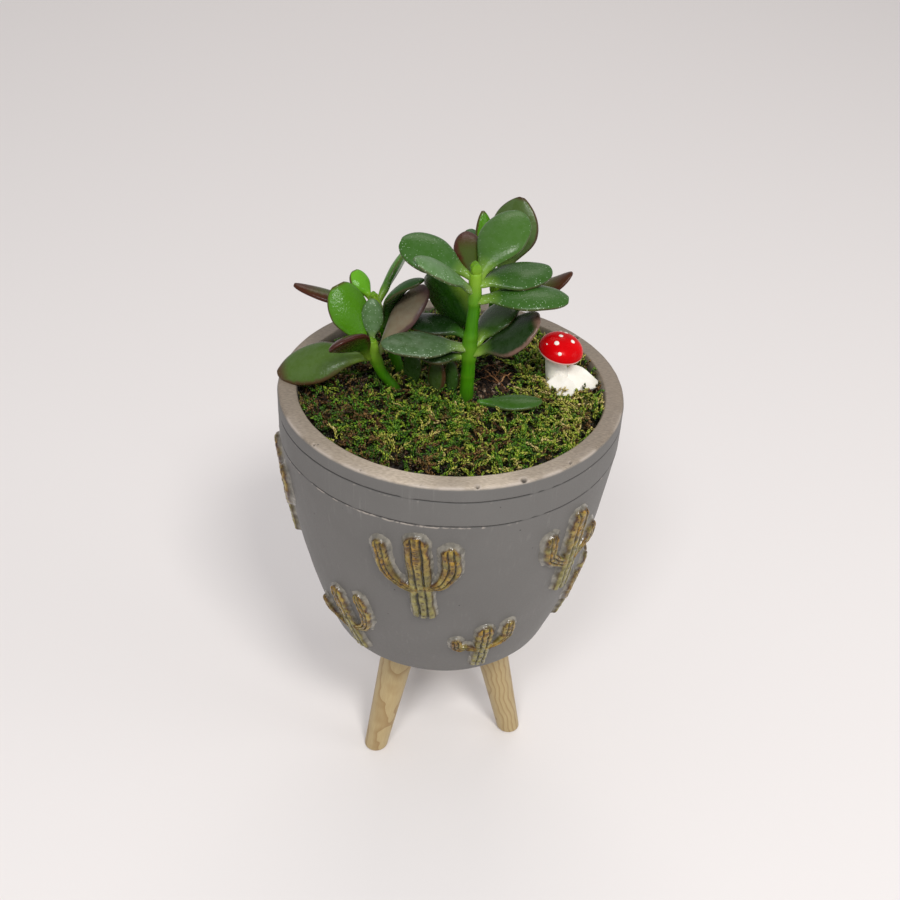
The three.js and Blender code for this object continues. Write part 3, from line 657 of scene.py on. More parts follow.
class Skin(Enum):
    """The leaves' skins, from dusty old leaves to fresh and sun-reddened ones."""

    GREEN = LeafSkin("leaf_cuticle_green", face="30661c", deep="215212", neck="7da238", back="3a661e", pores=0.17)
    LIVELY = LeafSkin(
        "leaf_cuticle_lively", face="387414", deep="2c640e", neck="86ac38", back="4d7a2a", pores=0.12
    )
    # A darker copy of the green skins: painted shade for leaves that lie in the shade of others.
    SHADED = LeafSkin(
        "leaf_cuticle_shaded", face="20480f", deep="15360b", neck="3c6a1a", back="28501a", pores=0.1, bloom=0.02
    )
    FALLEN = LeafSkin("leaf_cuticle_fallen", face="387414", deep="2a5c10", neck="48801c", back="3f6a1e", pores=0.0)
    RIMMED = LeafSkin(
        "leaf_cuticle_dark_rimmed", face="30661c", deep="215212", neck="7da238", back="3a661e", flush="7a5a50",
        margin=0.75, tip=0.1, reddened=0.75, pores=0.08,
    )
    DUSTY = LeafSkin(
        "leaf_cuticle_dusty", face="3c6a30", deep="2c5624", neck="7c9a44", back="4a6a3a", pores=0.18, bloom=0.12,
        roughness=0.3,
    )
    RED = LeafSkin(
        "leaf_cuticle_sun_red", face="46480e", deep="38330b", flush="42150b", neck="5a7a26", back="48581e",
        margin=1.7, tip=0.34, reddened=0.9, pores=0.02, bloom=0.0,
    )
    MAROON = LeafSkin(
        "leaf_cuticle_maroon_tip", face="38600f", deep="2c500c", flush="3f1016", neck="7da030", back="3a5a12",
        margin=1.5, tip=0.45, reddened=0.92, pores=0.0, bloom=0.0,
    )
    OLIVE = LeafSkin(
        "leaf_cuticle_olive", face="705c16", deep="4e5212", flush="4a2a1c", neck="84a838", back="5a7a2c",
        margin=0.9, tip=0.12, reddened=0.85, pores=0.08, bloom=0.04,
    )
    POINTED = LeafSkin(
        "leaf_cuticle_pointed", face="4c6a22", deep="3c5a1c", flush="43241c", neck="7fa03a", back="6a8a3c",
        margin=0.45, tip=0.05, reddened=0.85, pores=0.04, bloom=0.05,
    )
    BRIGHT = LeafSkin(
        "leaf_cuticle_bright", face="3c7812", deep="295c0c", flush="4a2c1c", neck="84b428", back="5c9c1c",
        margin=0.2, tip=0.05, reddened=0.8, pores=0.0, bloom=0.0, roughness=0.22, grain=0.2,
    )
    BRONZE = LeafSkin(
        "leaf_cuticle_bronze", face="937c70", deep="705c52", flush="4a2c30", neck="6a7a36", back="80705a",
        margin=0.9, tip=0.14, reddened=0.85, pores=0.06, bloom=0.1, roughness=0.32,
    )


MOSS_TONES = ("1e130a", "583818", "8e6c3a", "2c4a0c", "508614", "90a62a", "c0ba52", "dcc686")
MOSS = Toned("living_sheet_moss", MOSS_TONES, roughness=0.42, glint=0.5)
HUMUS = Toned("potting_soil_peat", ("0e0a08", "20160f", "3a2819", "5a4331", "a08c78"), roughness=0.85)
ROOT = Toned("dry_root_fibre", ("5c3a22", "9a6840", "c89868"), roughness=0.6)
CONCRETE = CastConcrete("cast_concrete_painted")
GLAZE = GoldGlaze("reactive_gold_glaze")
PINE = TurnedPine("turned_pine_oiled")
STEM = StemSkin("succulent_stem_skin")
CAP = Lacquer("gloss_lacquer_red")
DOT = Plaster("white_dot_paint")
PLASTER = Plaster("moulded_plaster_white")


# ---------------------------------------------------------------- pot


@dataclass
class Pot:
    """The cast pot: a surface of revolution with a sanded rim, two hairlines and a few bubbles, closed all over.

    inner_rows counts the profile's rows on the inner wall and floor. A bubble has an azimuth, a distance from the
    axis and a radius.
    """

    rim_radius: float = 60.0
    rim_inner: float = 53.5
    bottom_radius: float = 42.0
    fullness: float = 0.44
    wall: float = 6.8
    floor: float = 13.0
    edge_round: float = 1.6
    inner_round: float = 0.6
    bottom_round: float = 2.6
    upper_line: float = 5.8
    lower_line: float = 15.7
    inner_rows: int = 11
    sides: int = 720
    bubbles: tuple[Row, ...] = (
        (-7.3, 59.4, 0.35),
        (9.6, 59.3, 0.65),
        (24.4, 58.9, 0.95),
        (42.2, 58.6, 0.4),
        (-46.6, 59.2, 0.4),
        (-27.1, 59.3, 0.35),
        (128, 57.6, 1.0),
        (205, 58.4, 0.9),
    )

    def wall_radius(self, depth: Array) -> Array:
        """Outer radius at a depth below the rim: level to the lower line, then in by a cubic.

        Args:
            depth: depths below the rim.

        Returns:
            A radius for each depth.
        """
        s = np.maximum(0, (depth - self.lower_line) / (POT_HEIGHT - self.lower_line))
        return self.rim_radius - (self.rim_radius - self.bottom_radius) * (
            (1 - self.fullness) * s + self.fullness * s**3
        )

    def inner_radius(self, depth: Array) -> Array:
        """Inner radius at a depth below the rim."""
        return np.minimum(self.rim_inner, self.wall_radius(depth) - self.wall)

    def profile(self) -> Array:
        """Rows of [radius, depth] from the middle of the underside, up the wall, over the rim to the inner floor.

        Returns:
            The rows.
        """
        base = pairs(np.linspace(0.5, self.bottom_radius - self.bottom_round, 4), np.full(4, POT_HEIGHT))
        turn = np.linspace(0, math.pi / 2, 7)
        sin, cos = np.sin(turn), np.cos(turn)
        corner_depth = POT_HEIGHT - self.bottom_round * (1 - cos[1:])
        corner = pairs(self.wall_radius(corner_depth) - self.bottom_round * (1 - sin[1:]), corner_depth)
        offsets = np.array([-0.8, -0.4, -0.2, 0, 0.18, 0.34, 0.5, 0.7, 0.95, 1.2])
        lines = np.concatenate([self.upper_line + offsets, self.lower_line + offsets])
        plain = np.concatenate([np.arange(2.2, 19, 1.0), np.arange(19, POT_HEIGHT - self.bottom_round, 2.4)])
        plain = plain[np.abs(plain[:, None] - [self.upper_line, self.lower_line]).min(axis=1) > 1.35]
        depths = np.sort(np.concatenate([lines, plain]))[::-1]
        outside = pairs(self.wall_radius(depths), depths)
        edge = pairs(self.rim_radius - self.edge_round * (1 - cos), self.edge_round * (1 - sin))
        flat = np.linspace(self.rim_radius - self.edge_round, self.rim_inner + self.inner_round, 12)[1:]
        top = pairs(flat, np.zeros(len(flat)))
        turn = np.linspace(0, math.pi / 2, 5)[1:]
        lip = pairs(self.rim_inner + self.inner_round * (1 - np.sin(turn)), self.inner_round * (1 - np.cos(turn)))
        inside_depths = np.array([1.5, 3, 5, 8, 14, 30, 54, 78])
        inside = pairs(self.inner_radius(inside_depths), inside_depths)
        floor_depth = POT_HEIGHT - self.floor
        bed = np.array([[inside[-1, 0] - 4, floor_depth], [12, floor_depth], [0.5, floor_depth]])
        return np.vstack([base, corner, outside, edge, top, lip, inside, bed])

    def shape(self) -> Shape:
        """The pot's mesh: the profile turned, the wall a little uneven, the lines cut 0.35 mm deep and chipped.

        Returns:
            The closed mesh, with marks rim, line, chip and buff, the last a painted highlight on the rim's front.
        """
        rows = self.profile()
        azimuth = np.arange(self.sides) / self.sides * 360
        radius = np.repeat(rows[:, :1], self.sides, 1)
        depth = np.repeat(rows[:, 1:], self.sides, 1)
        out = heading(azimuth)[None]
        outside = (np.arange(len(rows)) < len(rows) - self.inner_rows)[:, None] & (radius > 20)
        spot = out * radius[..., None] + (GROUND_TO_RIM - depth[..., None]) * Z_AXIS
        wobble = 0.1 * ripple(spot, 30, 1) + 0.04 * ripple(spot, 7, 2)
        line_mark, chip_mark, cut = np.zeros((3, *radius.shape))
        ring = out[0] * self.rim_radius
        on_wall = radius > 50
        for i, at in enumerate((self.upper_line, self.lower_line)):
            wander = 0.1 * ripple(ring, 26, 10 + i)[None]
            broken = smooth(ripple(ring, 17, 20 + i) + 0.5 * ripple(ring, 4, 22 + i), -1.1, -0.3)[None]
            near = bell(depth - at - wander, 0.24) * on_wall
            worn = 0.6 * ripple(ring, 5, 30 + i) + 0.7 * ripple(ring, 1.6, 40 + i)
            side = (azimuth + 180) % 360 - 180
            front = smooth(side, -52, -40) * smooth(side, 18, 8) if i else 0.0
            ragged = smooth(worn + 1.05 * front, 0.6, 1.3)[None] * (0.85 if i else 0.3)
            hidden = 1 - 0.4 * ragged * smooth(ripple(ring, 6, 44 + i), -0.1, 0.3)[None]
            line_mark = np.maximum(line_mark, near * (0.3 + 0.7 * broken) * hidden)
            cut += 0.35 * near * broken
            drop = 0.42 + 0.16 * (worn + 0.5 * ripple(ring, 0.9, 48 + i))[None]
            wide = 0.17 + 0.09 * ripple(ring, 3, 49 + i)[None]
            below = bell(depth - at - drop - wander, wide) * on_wall
            chip_mark = np.maximum(chip_mark, below * ragged)
            cut += 0.12 * below * ragged
        # Paler along the rim's rounded outer edge, most towards the front.
        pale_front_edge = smooth(0.6 * ripple(ring, 12, 46) + 0.8 * np.cos(np.radians(azimuth)), 0.3, 1.0)[None]
        edge = bell(depth - 0.5, 0.35) * (radius > 57) * pale_front_edge
        chip_mark = np.maximum(chip_mark, 0.7 * edge)
        radius = radius + np.where(outside, wobble, 0) - cut
        sanded = ripple(spot, 2.4, 3)
        rim_mark = smooth(depth, 1.1, 0.5) * (radius > self.rim_inner - 0.1)
        rim_mark = np.maximum(rim_mark, 0.75 * smooth(depth, 9, 2) * (radius < self.rim_inner + 0.05))
        rim_mark = np.clip(rim_mark * (1 + 0.05 * sanded), 0, 1)
        height = GROUND_TO_RIM - depth + np.where(rim_mark > 0.5, 0.05 * ripple(spot, 9, 4) - 0.05, 0)
        for bubble_azimuth, bubble_radius, size in self.bubbles:
            middle = heading(bubble_azimuth) * bubble_radius + GROUND_TO_RIM * Z_AXIS
            away = np.linalg.norm(spot - middle, axis=-1) / size
            hole = np.exp(-(away**4))
            height = height - 0.8 * hole + 0.1 * bell(away - 1.35, 0.25)
            line_mark = np.maximum(line_mark, 0.9 * hole)
            chip_mark = np.maximum(chip_mark, 0.6 * bell(away - 1.5, 0.3) * (rim_mark > 0.2))
        points = out * radius[..., None]
        points[..., 2] = height
        # Painted highlight: the rim is painted paler towards the front, falling off to the sides.
        buff = bell((azimuth + 180) % 360 - 178, 34)
        buff = np.clip(buff * (1 + 0.3 * ripple(ring, 20, 47)), 0, 1)
        return tubes(points, {"rim": rim_mark, "line": line_mark, "chip": chip_mark, "buff": buff})

    def build(self) -> None:
        """Makes the pot in place of its CAD node."""
        piece("pot_body", self.shape(), CONCRETE, "pot")


class Limb(Enum):
    """Limbs of a saguaro figure: points [across, up, half width] from root to tip, and the grooves' places."""

    TRUNK = (((0, -0.2, 4.4), (0, 17, 4.6), (0, 30, 4.9), (0, 36.2, 4.8)), 0.3)
    LEFT_ARM = (((-2, 14, 1.9), (-7.8, 17.4, 2.3), (-11.8, 25, 3), (-12.9, 36.2, 3.1)), 0.27)
    RIGHT_ARM = (((2, 15, 1.9), (7.6, 17.6, 2.7), (11, 23.4, 3.7), (11.4, 31.8, 3.6)), 0.27)


@dataclass
class Saguaro:
    """One saguaro figure, cast with the wall: three ribbed limbs with a sloping skirt and rows of spine marks."""

    azimuth: float
    foot_depth: float
    scale: float
    seed: int
    lean: float = 0.0
    reach: float = 1.0
    rises: Row = (0, 0, 0)
    middle: float = 17.0
    relief: float = 2.6
    root: float = 1.6
    foot: float = 0.2
    step: float = 0.45

    def posed(self, limb: Limb) -> Array:
        """A limb's path with its reach, its tip raised, half as much just before it, and leaned about the middle.

        Args:
            limb: which limb.

        Returns:
            Rows of [across, up, half width].
        """
        rows = np.array(limb.value[0], float) * [self.reach, 1, 1]
        from_tip = np.arange(len(rows))[::-1]
        up = rows[:, 1] + self.rises[list(Limb).index(limb)] * np.maximum(0, 1 - from_tip / 2) - self.middle
        cos, sin = math.cos(math.radians(self.lean)), math.sin(math.radians(self.lean))
        return np.stack([rows[:, 0] * cos - up * sin, rows[:, 0] * sin + up * cos + self.middle, rows[:, 2]], 1)

    def limb_fields(self, limb: Limb, x: Array, y: Array) -> Marks:
        """Height and marks of one limb over the wall.

        The share s is the distance from the limb's middle line over its half width. The height is a crown of
        0.3 + 0.7 sqrt(1 - (s / 0.86)^3.4) inside s = 0.86, a sloping skirt that ends up to 1 mm beyond the limb,
        less two grooves.

        Args:
            limb: which limb.
            x, y: positions across and up, in the figure's own mm.

        Returns:
            Arrays: height, groove, skirt, rust, burnt and spine.
        """
        groove_at = limb.value[1]
        line = curve_through(self.posed(limb), 26)
        place = pairs(x, y)
        spot = place[..., None, :]
        a, b = line[:-1, :2], line[1:, :2]
        run = b - a
        t = np.clip(((spot - a) * run).sum(-1) / (run**2).sum(-1), 0, 1)
        foot = a + t[..., None] * run
        half = line[:-1, 2] + t * (line[1:, 2] - line[:-1, 2])
        share = np.linalg.norm(spot - foot, axis=-1) / half
        best = share.argmin(-1)[..., None]
        share = np.take_along_axis(share, best, -1)[..., 0]
        near = np.take_along_axis(t, best, -1)[..., 0]
        best = best[..., 0]
        side = unit(pairs(run[:, 1], -run[:, 0]))[best]
        offset = ((spot[..., 0, :] - a[best]) * side).sum(-1) / line[best, 2]
        length = np.linalg.norm(run, axis=1).sum()
        along = (best + near) / (len(line) - 1) * length
        from_tip = length - along + np.maximum(0, -line[-1, 2] * (share - 1))
        beyond = (share - 1) * line[best, 2]
        reach = 0.35 if limb is Limb.TRUNK else 0.95
        reach = reach + 0.2 * ripple(place, 6, self.seed + 3) + 0.3 * smooth(from_tip, 3, 0)
        crown = np.sqrt(np.clip(1 - (share / 0.86) ** 3.4, 0, 1))
        skirt = smooth(beyond, reach, -0.2 * line[best, 2])
        groove = bell(np.abs(offset) - groove_at, 0.075) * smooth(share, 0.84, 0.66)
        groove *= smooth(from_tip, 0.3, 1.6)
        beads = np.cos(along * TURN / 2.3 + self.seed)
        rib = bell(offset, 0.17) + 0.8 * bell(np.abs(offset) - 0.58, 0.13)
        height = self.relief * (0.3 * skirt + 0.7 * crown - 0.36 * groove) + 0.07 * beads * rib * crown
        spine = smooth(beads, 0.55, 0.95) * smooth(bell(offset, 0.13), 0.4, 0.8)
        high = smooth(along, 0.25 * length, 0.75 * length) if limb is Limb.TRUNK else 0.85
        wander = ripple(place, 5, self.seed + 4)
        outer = smooth(np.abs(offset), 0.4, 0.75)
        return {
            "height": np.where(beyond < reach - 0.04, height, -self.root),
            "groove": np.clip(groove * 1.1, 0, 1),
            "skirt": smooth(share + 0.04 * wander, 0.8, 0.88),
            "rust": np.clip(high * (0.7 + 0.5 * wander), 0, 1),
            # Brown glaze on the outer sides, plus a painted shadow line where the crown meets the skirt.
            "burnt": np.clip(outer * (0.3 + 0.9 * wander) * high + 0.9 * bell(share - 0.82, 0.05), 0, 1),
            "spine": spine * 0.85,
        }

    def shape(self, pot: Pot) -> Shape:
        """The figure as a patch, sunk 1.6 mm into the wall along its outline and closed by a fan to a point within.

        Args:
            pot: the pot that carries it.

        Returns:
            The closed mesh with its marks.
        """
        across = np.arange(-24, 22 + self.step, self.step)
        up = np.arange(self.foot, 46 + self.step, self.step)
        x, y = np.meshgrid(across, up, indexing="ij")
        spot = pairs(x, y)
        x1 = x + 0.22 * ripple(spot, 6, self.seed)
        y1 = y + 0.22 * ripple(spot, 7, self.seed + 1)
        fields = [self.limb_fields(limb, x1, y1) for limb in Limb]
        best = np.stack([f["height"] for f in fields]).argmax(0)[None]
        marks = {n: np.take_along_axis(np.stack([f[n] for f in fields]), best, 0)[0] for n in fields[0]}
        height = marks.pop("height")
        kept = height > -self.root + 0.01
        cells = kept[:-1, :-1] | kept[1:, :-1] | kept[:-1, 1:] | kept[1:, 1:]
        height = height + np.where(kept, 0.1 * ripple(spot, 2.6, self.seed + 2), 0)
        place = spot * self.scale
        tall = self.wrapped(pot, place, np.where(kept, height * (0.7 + 0.3 * self.scale), -0.5))
        back = self.wrapped(pot, place, np.full_like(height, -self.root))
        index = np.arange(height.size).reshape(height.shape)
        i, j = np.nonzero(cells)
        front = np.stack([index[i, j], index[i + 1, j], index[i + 1, j + 1], index[i, j + 1]], 1)
        edges = np.vstack([front[:, [k, (k + 1) % 4]] for k in range(4)])
        names = np.sort(edges, 1) @ np.array([height.size, 1])
        _, first, count = np.unique(names, return_index=True, return_counts=True)
        rim = edges[first[count == 1]]
        walls = np.stack([rim[:, 1], rim[:, 0], rim[:, 0] + height.size, rim[:, 1] + height.size], 1)
        fan = np.stack([rim[:, 1] + height.size, rim[:, 0] + height.size, np.full(len(rim), 2 * height.size)], 1)
        quads = np.vstack([front, walls])
        used = np.unique(np.concatenate([quads.ravel(), fan.ravel()]))
        order = np.zeros(2 * height.size + 1, int)
        order[used] = np.arange(len(used))
        heart = self.wrapped(pot, np.array([[0, self.middle * self.scale]]), np.array([-1.8 * self.root]))
        points = np.vstack([tall.reshape(-1, 3), back.reshape(-1, 3), heart])[used]
        faces = order[quads].tolist() + order[fan].tolist()
        marks = {n: np.concatenate([v.ravel(), v.ravel(), [0]])[used] for n, v in marks.items()}
        return Shape(points, outward(points, faces), marks)

    def wrapped(self, pot: Pot, place: Array, height: Array) -> Array:
        """Points [across, up] bent round the wall and raised by their height.

        Args:
            pot: the pot that carries it.
            place: positions [across, up] in mm.
            height: how far each stands out from the wall.

        Returns:
            Positions, with xyz last.
        """
        depth = self.foot_depth - place[..., 1]
        wall = pot.wall_radius(depth)
        points = heading(self.azimuth + np.degrees(place[..., 0] / wall)) * (wall + height)[..., None]
        points[..., 2] = GROUND_TO_RIM - depth
        return points


@dataclass
class Reliefs:
    """Two staggered rows of saguaro figures: azimuth, lean, reach, and rises of trunk, left and right arm."""

    upper: tuple[Row, ...] = (
        (-81, 2, 1, 0, -1, 0),
        (-6.7, 5, 0.96, -1, -3.5, -0.5),
        (49.5, 0, 0.94, -2.5, -6.5, -10),
        (110, -3, 1, 1, -2, 2),
        (168, 4, 1, 0, 1, -3),
        (226, -2, 1, -1, -3, 1),
    )
    lower: tuple[Row, ...] = (
        (-39.5, 12, 1.3, 0, -14, 6),
        (18.5, 0, 1, -8.5, -15, -2.5),
        (74, 0, 1, 0, 0, 0),
        (136.3, 3, 1, -2, 1, -4),
        (197, -4, 1, 0, -3, 2),
        (254, 2, 1, -3, -1, 0),
    )

    def build(self, pot: Pot) -> None:
        """Makes the twelve figures.

        Args:
            pot: the pot that carries them.
        """
        for row, figures, depth, scale in (("upper", self.upper, 59.6, 1.0), ("lower", self.lower, 92.0, 0.76)):
            for i, (azimuth, lean, reach, *rises) in enumerate(figures):
                seed = 100 + 10 * i + (5 if row == "lower" else 0)
                figure = Saguaro(azimuth, depth, scale, seed, lean, reach, tuple(rises))
                figure.step = 0.3 if -95 < azimuth < 80 else 0.45
                piece(f"saguaro_{row}_{i + 1}", figure.shape(pot), GLAZE)


@dataclass
class Legs:
    """Three turned legs, thicker at the top, that splay outwards from blind sockets in the pot's underside.

    pith is the distance of the growth rings' middle from the first leg's axis, and log_step keeps the legs' wood
    apart along the log.
    """

    azimuths: Row = (-46.2, 73.8, 193.8)
    foot_reach: float = 32.5
    top_reach: float = 17.0
    foot_radius: float = 4.6
    top_radius: float = 7.5
    into_pot: float = 7.7
    foot_round: float = 1.0
    pith: float = 9.0
    pith_step: float = 3.0
    log_step: float = 200.0
    sides: int = 48
    steps: int = 36

    def axis(self, azimuth: float, z: Array) -> Array:
        """Points of a leg's middle line at heights.

        Args:
            azimuth: the leg's azimuth.
            z: heights.

        Returns:
            Positions, with xyz last.
        """
        line = heading(azimuth) * (self.foot_reach + (self.top_reach - self.foot_reach) * (z / POT_BOTTOM))[:, None]
        line[:, 2] = z
        return line

    def shape(self, azimuth: float) -> Shape:
        """A straight taper with a rounded foot.

        Args:
            azimuth: the leg's azimuth.

        Returns:
            The closed mesh.
        """
        low = self.foot_round * (1 - np.cos(np.linspace(0, math.pi / 2, 6)))
        z = np.concatenate([low, np.linspace(2, POT_BOTTOM + self.into_pot, self.steps)])
        radius = self.foot_radius + (self.top_radius - self.foot_radius) * (z / POT_BOTTOM)
        lip = self.foot_round * (1 - np.sqrt(np.clip(1 - (1 - z / self.foot_round) ** 2, 0, 1)))
        radius = radius - np.where(z < self.foot_round, lip, 0)
        return tubes(around(self.axis(azimuth, z), radius, radius, self.sides))

    def build(self) -> None:
        """Makes each leg in place of its CAD node; the mark "wood" holds the leg's own coordinates in mm."""
        for i, azimuth in enumerate(self.azimuths):
            shape = self.shape(azimuth)
            made = piece(f"pine_leg_{i + 1}", shape, PINE, f"leg_{i + 1}")
            z = shape.points[:, 2]
            own = shape.points - self.axis(azimuth, z) + heading(azimuth + 40) * (self.pith + self.pith_step * i)
            own[:, 2] = z + self.log_step * i
            layer = made.data.attributes.new("wood", "FLOAT_VECTOR", "POINT")
            layer.data.foreach_set("vector", own.astype(np.float32).ravel())


# ---------------------------------------------------------------- planting


def clumps(spot: Array) -> Array:
    """Clumps of moss 5.5 mm wide, with hollows between them."""
    return ripple(spot, 5.5, 82)


def moss_lumps(x: Array, y: Array) -> Array:
    """Lumps of the mat, between -1 and 1, as in the CAD's moss.

    Args:
        x, y: positions in mm.

    Returns:
        One value for each position.
    """
    slow = np.sin(0.31 * x + 1.3) * np.cos(0.27 * y - 0.4)
    quick = np.sin(0.83 * x + 0.61 * y) * np.cos(-0.52 * x + 0.71 * y + 2)
    return 0.5 * slow + 0.5 * quick


@dataclass
class BarePatch:
    """The patch behind the main stem where the moss leaves the soil bare."""

    x: float = 14.5
    y: float = 11.0
    half_x: float = 9.2
    half_y: float = 18.0
    turn: float = -0.1

    def depth(self, x: Array, y: Array) -> Array:
        """How far inside the patch a point is: 0 at its edge, 1 in its middle, negative outside.

        Args:
            x, y: positions in mm.

        Returns:
            One value for each position.
        """
        dx, dy = x - self.x, y - self.y
        u = (dx * math.cos(self.turn) + dy * math.sin(self.turn)) / self.half_x
        v = (-dx * math.sin(self.turn) + dy * math.cos(self.turn)) / self.half_y
        spot = pairs(x, y)
        ragged = 0.12 * ripple(spot, 9, 50) + 0.06 * ripple(spot, 3, 51)
        return 1 - np.sqrt(u**2 + v**2) + ragged


def disc(radius: float, rings: int, sides: int) -> tuple[Array, Array]:
    """Positions x and y on a polar grid from near the middle out to a radius.

    Args:
        radius: that of the last ring, in mm.
        rings, sides: how many rings, and points in each.

    Returns:
        x and y, each as ring, point.
    """
    r = np.linspace(0.01, 1, rings)[:, None] * radius
    a = (np.arange(sides) / sides * TURN)[None]
    return r * np.cos(a), r * np.sin(a)


def lidded(x: Array, y: Array, top: Array, under: Array) -> Array:
    """Rings of a closed body: from the middle of its underside out and up its side, then in over its top.

    Args:
        x, y, top: the top as a polar grid.
        under: rows of [radius, z] for the underside and the side.

    Returns:
        Rings for tubes().
    """
    rim = pairs(x[-1], y[-1]) / np.hypot(x[-1], y[-1])[:, None]
    below = np.concatenate([rim[None] * under[:, None, :1], np.repeat(under[:, 1:, None], len(rim), 1)], -1)
    over = np.stack([x, y, top], -1)[::-1]
    return np.concatenate([below, over])


@dataclass
class Soil:
    """Potting soil: a dark crumbly bed that shows in the bare patch, with crumbs and dry root fibres on it."""

    patch: BarePatch
    radius: float = 52.6
    crumbs: int = 1200

    def top(self, x: Array, y: Array) -> Array:
        """Height of the soil: a crown of 1 mm with crumbs of 3 and 1.2 mm.

        Args:
            x, y: positions in mm.

        Returns:
            Heights in mm.
        """
        spot = pairs(x, y)
        crown = np.maximum(0, 1 - np.hypot(x, y) / self.radius)
        return SOIL_TOP + 0.5 + crown + 0.45 * ripple(spot, 3.2, 60) + 0.25 * ripple(spot, 1.3, 61)

    def build(self, pot: Pot) -> None:
        """Makes the bed in place of its CAD node, then the crumbs and the fibres.

        Args:
            pot: the pot that it fills.
        """
        x, y = disc(self.radius, 72, 200)
        edge = smooth(np.hypot(x, y), self.radius, self.radius - 1.5)
        top = self.top(x, y) * edge + (SOIL_TOP - 1) * (1 - edge)
        spot = pairs(x, y)
        tone = np.clip(0.35 + 0.3 * ripple(spot, 2, 62), 0, 1)
        depths = np.array([86.6, 78, 54, 30, 10])
        side = pairs(pot.inner_radius(depths) - 0.4, GROUND_TO_RIM - depths)
        side[0, 0] -= 3.8
        under = np.vstack([[[0.3, side[0, 1]]], side])
        tones = np.concatenate([np.zeros((len(under), x.shape[1])), tone[::-1]])
        shape = tubes(lidded(x, y, top, under), {"tone": tones})
        piece("soil_bed", shape, HUMUS, "soil")
        self.crumble()
        self.fibres()

    def crumble(self) -> None:
        """Crumbs of 0.5 to 2 mm: short five-sided tubes with swollen middles, strewn over the patch."""
        dice = np.random.default_rng(7)
        x = dice.uniform(self.patch.x - 12, self.patch.x + 12, self.crumbs * 2)
        y = dice.uniform(self.patch.y - 21, self.patch.y + 21, self.crumbs * 2)
        inside = self.patch.depth(x, y) > -0.12
        x, y = x[inside][: self.crumbs], y[inside][: self.crumbs]
        count = len(x)
        size = 0.28 + 0.62 * dice.random(count) ** 3
        axis = unit(dice.normal(size=(count, 3)))
        across = unit(np.cross(axis, dice.normal(size=(count, 3))))
        up = np.cross(axis, across)
        stations = np.array([-0.95, -0.5, 0.25, 0.9])
        swell = np.array([0.45, 0.95, 1.0, 0.5])
        middle = np.stack([x, y, self.top(x, y) + 0.3 * size], -1)
        centres = middle[:, None] + axis[:, None] * (stations[None, :, None] * size[:, None, None])
        half = size[:, None] * swell * dice.uniform(0.8, 1.2, (count, 4))
        thick = size[:, None] * swell * dice.uniform(0.7, 1.1, (count, 4))
        rings = around(centres, half, thick, 5, across[:, None], up[:, None])
        tone = (dice.random(count) ** 1.7)[:, None, None]
        piece("soil_crumbs", tubes(rings, {"tone": tone}), HUMUS)

    def fibres(self) -> None:
        """Dry roots up to 0.7 mm thick: nearly straight, over the patch, raised in low arches; long ones first."""
        dice = np.random.default_rng(11)
        ends = [
            ((9.4, 16.9), (24.8, 26.0), 2.6),
            ((13.7, 17.6), (19.1, 5.2), 1.8),
            ((9.0, 20.5), (16.5, 19.0), 2.2),
            ((12.0, 13.0), (23.0, 15.5), 1.4),
            ((15.0, 19.0), (22.5, 9.0), 1.7),
        ]
        for _ in range(15):
            start = np.array([self.patch.x, self.patch.y]) + dice.normal(size=2) * [5.0, 8.0]
            ends.append((start, start + unit(dice.normal(size=2)) * dice.uniform(6, 15), dice.uniform(0.3, 1.4)))
        roots = []
        for start, end, arch in ends:
            a, b = np.array(start), np.array(end)
            t = np.linspace(0, 1, 14)[:, None]
            side = np.array([-(b - a)[1], (b - a)[0]])
            flat = a + (b - a) * t + side * (0.05 * np.sin(TURN * t * dice.uniform(0.6, 1.2) + dice.uniform(0, 3)))
            z = self.top(flat[:, 0], flat[:, 1]) + 0.2 + arch * np.sin(math.pi * t[:, 0])
            line = np.column_stack([flat, z])
            ahead = unit(np.gradient(line, axis=0))
            across = unit(np.cross(ahead, Z_AXIS))
            thick = dice.choice([0.11, 0.16, 0.3], p=[0.4, 0.4, 0.2]) * (1 - 0.5 * t[:, 0])
            roots.append(around(line, thick, thick, 5, across, np.cross(across, ahead)))
        tone = dice.random(len(ends))[:, None, None]
        piece("root_fibres", tubes(np.stack(roots), {"tone": tone}), ROOT)


class MossTuft(Enum):
    """Kinds of sprig in the mat: how many, their length in mm, and the middle of their tone."""

    GREEN = (1750, 7.6, 0.57)
    YELLOW = (950, 8.0, 0.76)
    BROWN = (850, 7.0, 0.24)


